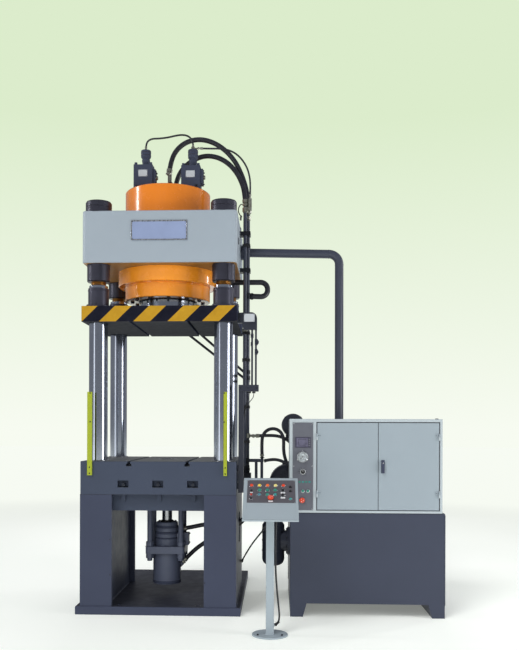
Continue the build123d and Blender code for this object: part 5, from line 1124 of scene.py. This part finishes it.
LENSES = (
    (796, 370, M_RED, 13), (855, 370, M_YELLOW, 13), (915, 370, M_AMBER, 13), (974, 370, M_PALE, 13), (1033, 370, M_RED, 13),
    (1086, 357, M_BLACK, 8), (796, 312, M_BLACK, 8), (1086, 311, M_BLACK, 8), (795, 266, M_DARKRED, 9), (795, 222, M_BLACK, 9),
    (1085, 220, M_TEAL, 10), (855, 267, M_BLUE, 12), (914, 267, M_GREEN, 12), (973, 267, M_TEAL, 12),
)
s = Shape("console_lamps")
for u, v, lens, r in LENSES:
    s.lathe([(r - 0.4, 0), (r + 4.0, 0), (r + 4.0, 2.0), (r + 2.0, 3.6), (r - 0.4, 3.6)], on_desk(u, v, 2.0), CON_OUT, S_TRIM if r > 8 else M_BLACK, 40)
    s.lathe(
        [(r - 0.2, 2.5), (r - 0.2, 7.4), (r - 1.4, 9.4), (r * 0.62, 10.9), (r * 0.3, 11.5), (0, 11.7)],
        on_desk(u, v, 2.0), CON_OUT, lens, 40,
    )
for x, z in ((1198, 1035), (1240, 1035)):
    s.lathe([(11.2, 2.5), (11.2, 7), (10, 9), (6, 10.4), (0, 11)], (x, -567.6, z), (0, -1, 0), M_GREEN, 40)
s.done("frame", "lamp_plastic", ("signal_lamps",))

s = Shape("console_bezels")
for u, v in ((857, 315), (915, 315), (972, 315), (1029, 314), (1029, 258)):
    s.lathe([(12.9, 0), (17, 0), (17, 2.2), (14.6, 4.0), (12.9, 4.0)], on_desk(u, v, 2.0), CON_OUT, S_TRIM, 44)
plate(s, 922, 956, 190, 203, 0.9, M_WHITE, 2.0, 0.3)
s.lathe([(10.5, 0), (19, 0), (19, 0.7), (10.5, 0.7)], on_desk(939, 223, 2.0), CON_OUT, M_BLACK, 48)
s.done("frame", "console_paint")

for name, u, v in (("button_1", 857, 315), ("button_2", 915, 315), ("button_3", 972, 315)):
    s = Shape(name + "_cap")
    s.lathe([(10.2, 0), (12.3, 0), (12.3, 5.6), (11.4, 7.2), (9.6, 7.6), (8.8, 6.9), (0, 6.5)], on_desk(u, v, 6.2), CON_OUT, M_GREEN, 44)
    s.done(name + "_body", "green_plastic")
for name, u, v in (("selector_upper", 1029, 314), ("selector_lower", 1029, 258)):
    s = Shape(name + "_lever")
    s.lathe([(12.4, 0), (12.4, 5), (11.2, 6.6), (0, 6.8)], on_desk(u, v, 3.4), CON_OUT, M_BLACK, 40)
    s.prism([(-4.6, -12.2), (4.6, -12.2), (5.2, 0), (4.6, 12.2), (-4.6, 12.2), (-5.2, 0)], on_desk(u, v, 9.0), CON_X, CON_UP, 10.8, M_BLACK, 1.8, 3)
    plate(s, u - 0.9, u + 0.9, v + 2, v + 11.4, 0.4, M_WHITE, 19.8, 0.1)
    s.done(name + "_body", "black_plastic")
mushroom("console_estop_cap", "console_estop_body", on_desk(939, 223, 9.4), CON_OUT, 21.6, 16.4, 1.5, "red_plastic")

s = Shape("console_trim")
# folded rim round the desk's face, standing a little proud, and lid screws on the sides
for u0, u1, v0, v1 in ((737, 1141, 436, 457), (737, 764, 1, 436), (1122, 1141, 1, 436), (764, 1122, 166, 179)):
    plate(s, u0, u1, v0, v1, 1.6, P_CONSOLE, -0.2, 1.0)
for x, way in ((736.5, -1), (1141.5, 1)):
    for y, z in ((-1080, 910), (-1080, 1130), (-1300, 905)):
        s.lathe([(4.5, 0), (4.5, 1.5), (3, 2.4), (0, 2.4)], (x, y, z), (way, 0, 0), S_BOLT, 20)
# painted shadow in the seam of the bottom cover on the front lip
s.box((736.2, -1464.6, 896.6), (1141.8, -1463.6, 898.0), P_JOINT_SHADOW)
s.done("frame", "console_paint")

s = Shape("console_stand_details")
# weld bead round the post's foot, clamp plate under the desk, foot screws
for a, b, n in (((905, -1190, 12), (965, -1190, 12), (0, -1, 0)), ((905, -1130, 12), (965, -1130, 12), (0, 1, 0)),
                ((905, -1190, 12), (905, -1130, 12), (-1, 0, 0)), ((965, -1190, 12), (965, -1130, 12), (1, 0, 0))):
    weld(s, a, b, n, 5, P_CONSOLE)
s.box((875, -1220, 877), (995, -1100, 885), P_CONSOLE, 2)
for x in (888, 982):
    for y in (-1207, -1113):
        s.bolt(6, 7, (x, y, 877), (0, 0, -1))
for i in range(3):
    a = math.radians(90 + 120 * i)
    s.bolt(7, 9, (935 + 104 * math.cos(a), -1160 + 104 * math.sin(a), 12), (0, 0, 1))
s.done("frame", "console_paint")

# strain reliefs where the cables enter: tapered, ribbed sleeves round each end
def relief(name, at, away, r):
    shape = Shape(name)
    profile, h = [(r + 0.4, 0), (r + 6, 0), (r + 6, 5)], 5.0
    for k in range(5):
        q = r + 4.6 - k * 0.75
        profile += [(q, h + 0.5), (q, h + 4.6), (q - 1.4, h + 5.2), (q - 1.4, h + 6.8)]
        h += 6.8
    profile += [(r + 0.9, h + 2), (r + 0.3, h + 3)]
    shape.lathe(profile, at, away, M_BLACK, 32)
    shape.done("frame", "cable_jacket")


relief("relief_desk_down", (980, -1150, 872), (-0.021, 0, -1), 7)
relief("relief_desk_back", (930.2, -1027, 935.5), (-0.045, 0.89, -0.455), 7)
relief("relief_leg", (665, 188, 325.5), (0.285, -0.742, 0.604), 7)
relief("relief_post", (973, -1160, 75), (0.76, 0.05, 0.64), 7)

# ------------------------------------------------------- floor and lights
FLOOR = Mat("floor")
_tone = FLOOR.mix(FLOOR.remap(FLOOR.noise(0.7, 4, 0.5), 0.3, 0.7, 0, 1), rgb(238, 241, 235), rgb(243, 245, 240))
FLOOR.link(_tone, FLOOR.b.inputs["Base Color"])
_far = FLOOR.remap(FLOOR.math("ADD", FLOOR.math("MULTIPLY", FLOOR.axis("X"), FLOOR.axis("X")), FLOOR.math("MULTIPLY", FLOOR.axis("Y"), FLOOR.axis("Y"))), 9.0, 120.0, 0.0, 1.0)
FLOOR.link(FLOOR.mix(_far, _tone, rgb(70, 70, 70)), FLOOR.b.inputs["Base Color"])
FLOOR.link(FLOOR.math("ADD", FLOOR.math("MULTIPLY", _far, 0.74), 0.20), FLOOR.b.inputs["Emission Strength"])
FLOOR.b.inputs["Emission Color"].default_value = rgb(248, 252, 243)
FLOOR.set(rough=0.8, spec=0.1)
floor_mesh = bpy.data.meshes.new("floor")
floor_mesh.from_pydata([(-60, -60, 0), (60, -60, 0), (60, 60, 0), (-60, 60, 0)], [], [(0, 1, 2, 3)])
floor_mesh.materials.append(FLOOR.m)
floor = bpy.data.objects.new("floor", floor_mesh)
floor.location.z = -0.0006
SCENE.collection.objects.link(floor)

world = bpy.data.worlds.new("studio")
SCENE.world = world
world.use_nodes = True
wt = world.node_tree
back = wt.nodes["Background"]
seen = wt.nodes.new("ShaderNodeLightPath")
pick = wt.nodes.new("ShaderNodeMix")
pick.data_type = "RGBA"
rgba = [x for x in pick.inputs if x.type == "RGBA"]
coords = wt.nodes.new("ShaderNodeTexCoord")
split = wt.nodes.new("ShaderNodeSeparateXYZ")
wt.links.new(coords.outputs["Generated"], split.inputs[0])
# backdrop: pale green above, nearly white at the floor
rise = wt.nodes.new("ShaderNodeMapRange")
rise.inputs["From Min"].default_value = 0.0
rise.inputs["From Max"].default_value = 0.36
wt.links.new(split.outputs["Z"], rise.inputs["Value"])
drop = wt.nodes.new("ShaderNodeMix")
drop.data_type = "RGBA"
shown = [x for x in drop.inputs if x.type == "RGBA"]
shown[0].default_value = rgb(247, 251, 241)
shown[1].default_value = rgb(220, 236, 204)
wt.links.new(rise.outputs["Result"], drop.inputs["Factor"])
rgba[0].default_value = (0.29, 0.30, 0.32, 1)
wt.links.new([x for x in drop.outputs if x.type == "RGBA"][0], rgba[1])
wt.links.new(seen.outputs["Is Camera Ray"], pick.inputs["Factor"])
wt.links.new([x for x in pick.outputs if x.type == "RGBA"][0], back.inputs["Color"])
back.inputs["Strength"].default_value = 1.0


def lamp(name, kind, power, location, target, size=(1, 1), colour=(1, 1, 1), mirrored=True):
    data = bpy.data.lights.new(name, kind)
    data.energy = power
    data.color = colour
    if kind == "AREA":
        data.shape = "RECTANGLE"
        data.size, data.size_y = size
    else:
        data.angle = size[0]
    o = bpy.data.objects.new(name, data)
    o.location = location
    o.rotation_euler = (Vector(target) - Vector(location)).to_track_quat("-Z", "Y").to_euler()
    SCENE.collection.objects.link(o)
    o.visible_glossy = mirrored
    return o


lamp("sun", "SUN", 1.2, (-3.5, -6.0, 8.5), (0.5, 0, 1.5), (math.radians(24),), mirrored=False)
lamp("right_soft", "AREA", 150, (6.2, -2.4, 1.7), (-0.3, -0.2, 1.7), (1.9, 3.4))
lamp("left_soft", "AREA", 28, (-4.7, -5.6, 1.7), (0.0, 0, 1.7), (1.6, 3.4))
lamp("left_high", "AREA", 65, (-5.4, -1.0, 4.6), (0.0, 0, 3.2), (0.5, 1.7))
lamp("right_high", "AREA", 40, (5.6, 2.2, 4.6), (0.0, 0, 3.2), (0.4, 1.7))
lamp("front_soft", "AREA", 110, (-1.8, -8.5, 4.4), (0.6, 0, 1.8), (5.0, 2.2), mirrored=False)
lamp("low_soft", "AREA", 30, (0.2, -4.4, 0.5), (-0.1, 0, 0.7), (1.6, 0.8), mirrored=False)
lamp("rear_soft", "AREA", 150, (0.8, 6.5, 5.0), (0.8, 0, 2.0), (5.0, 2.5), mirrored=False)
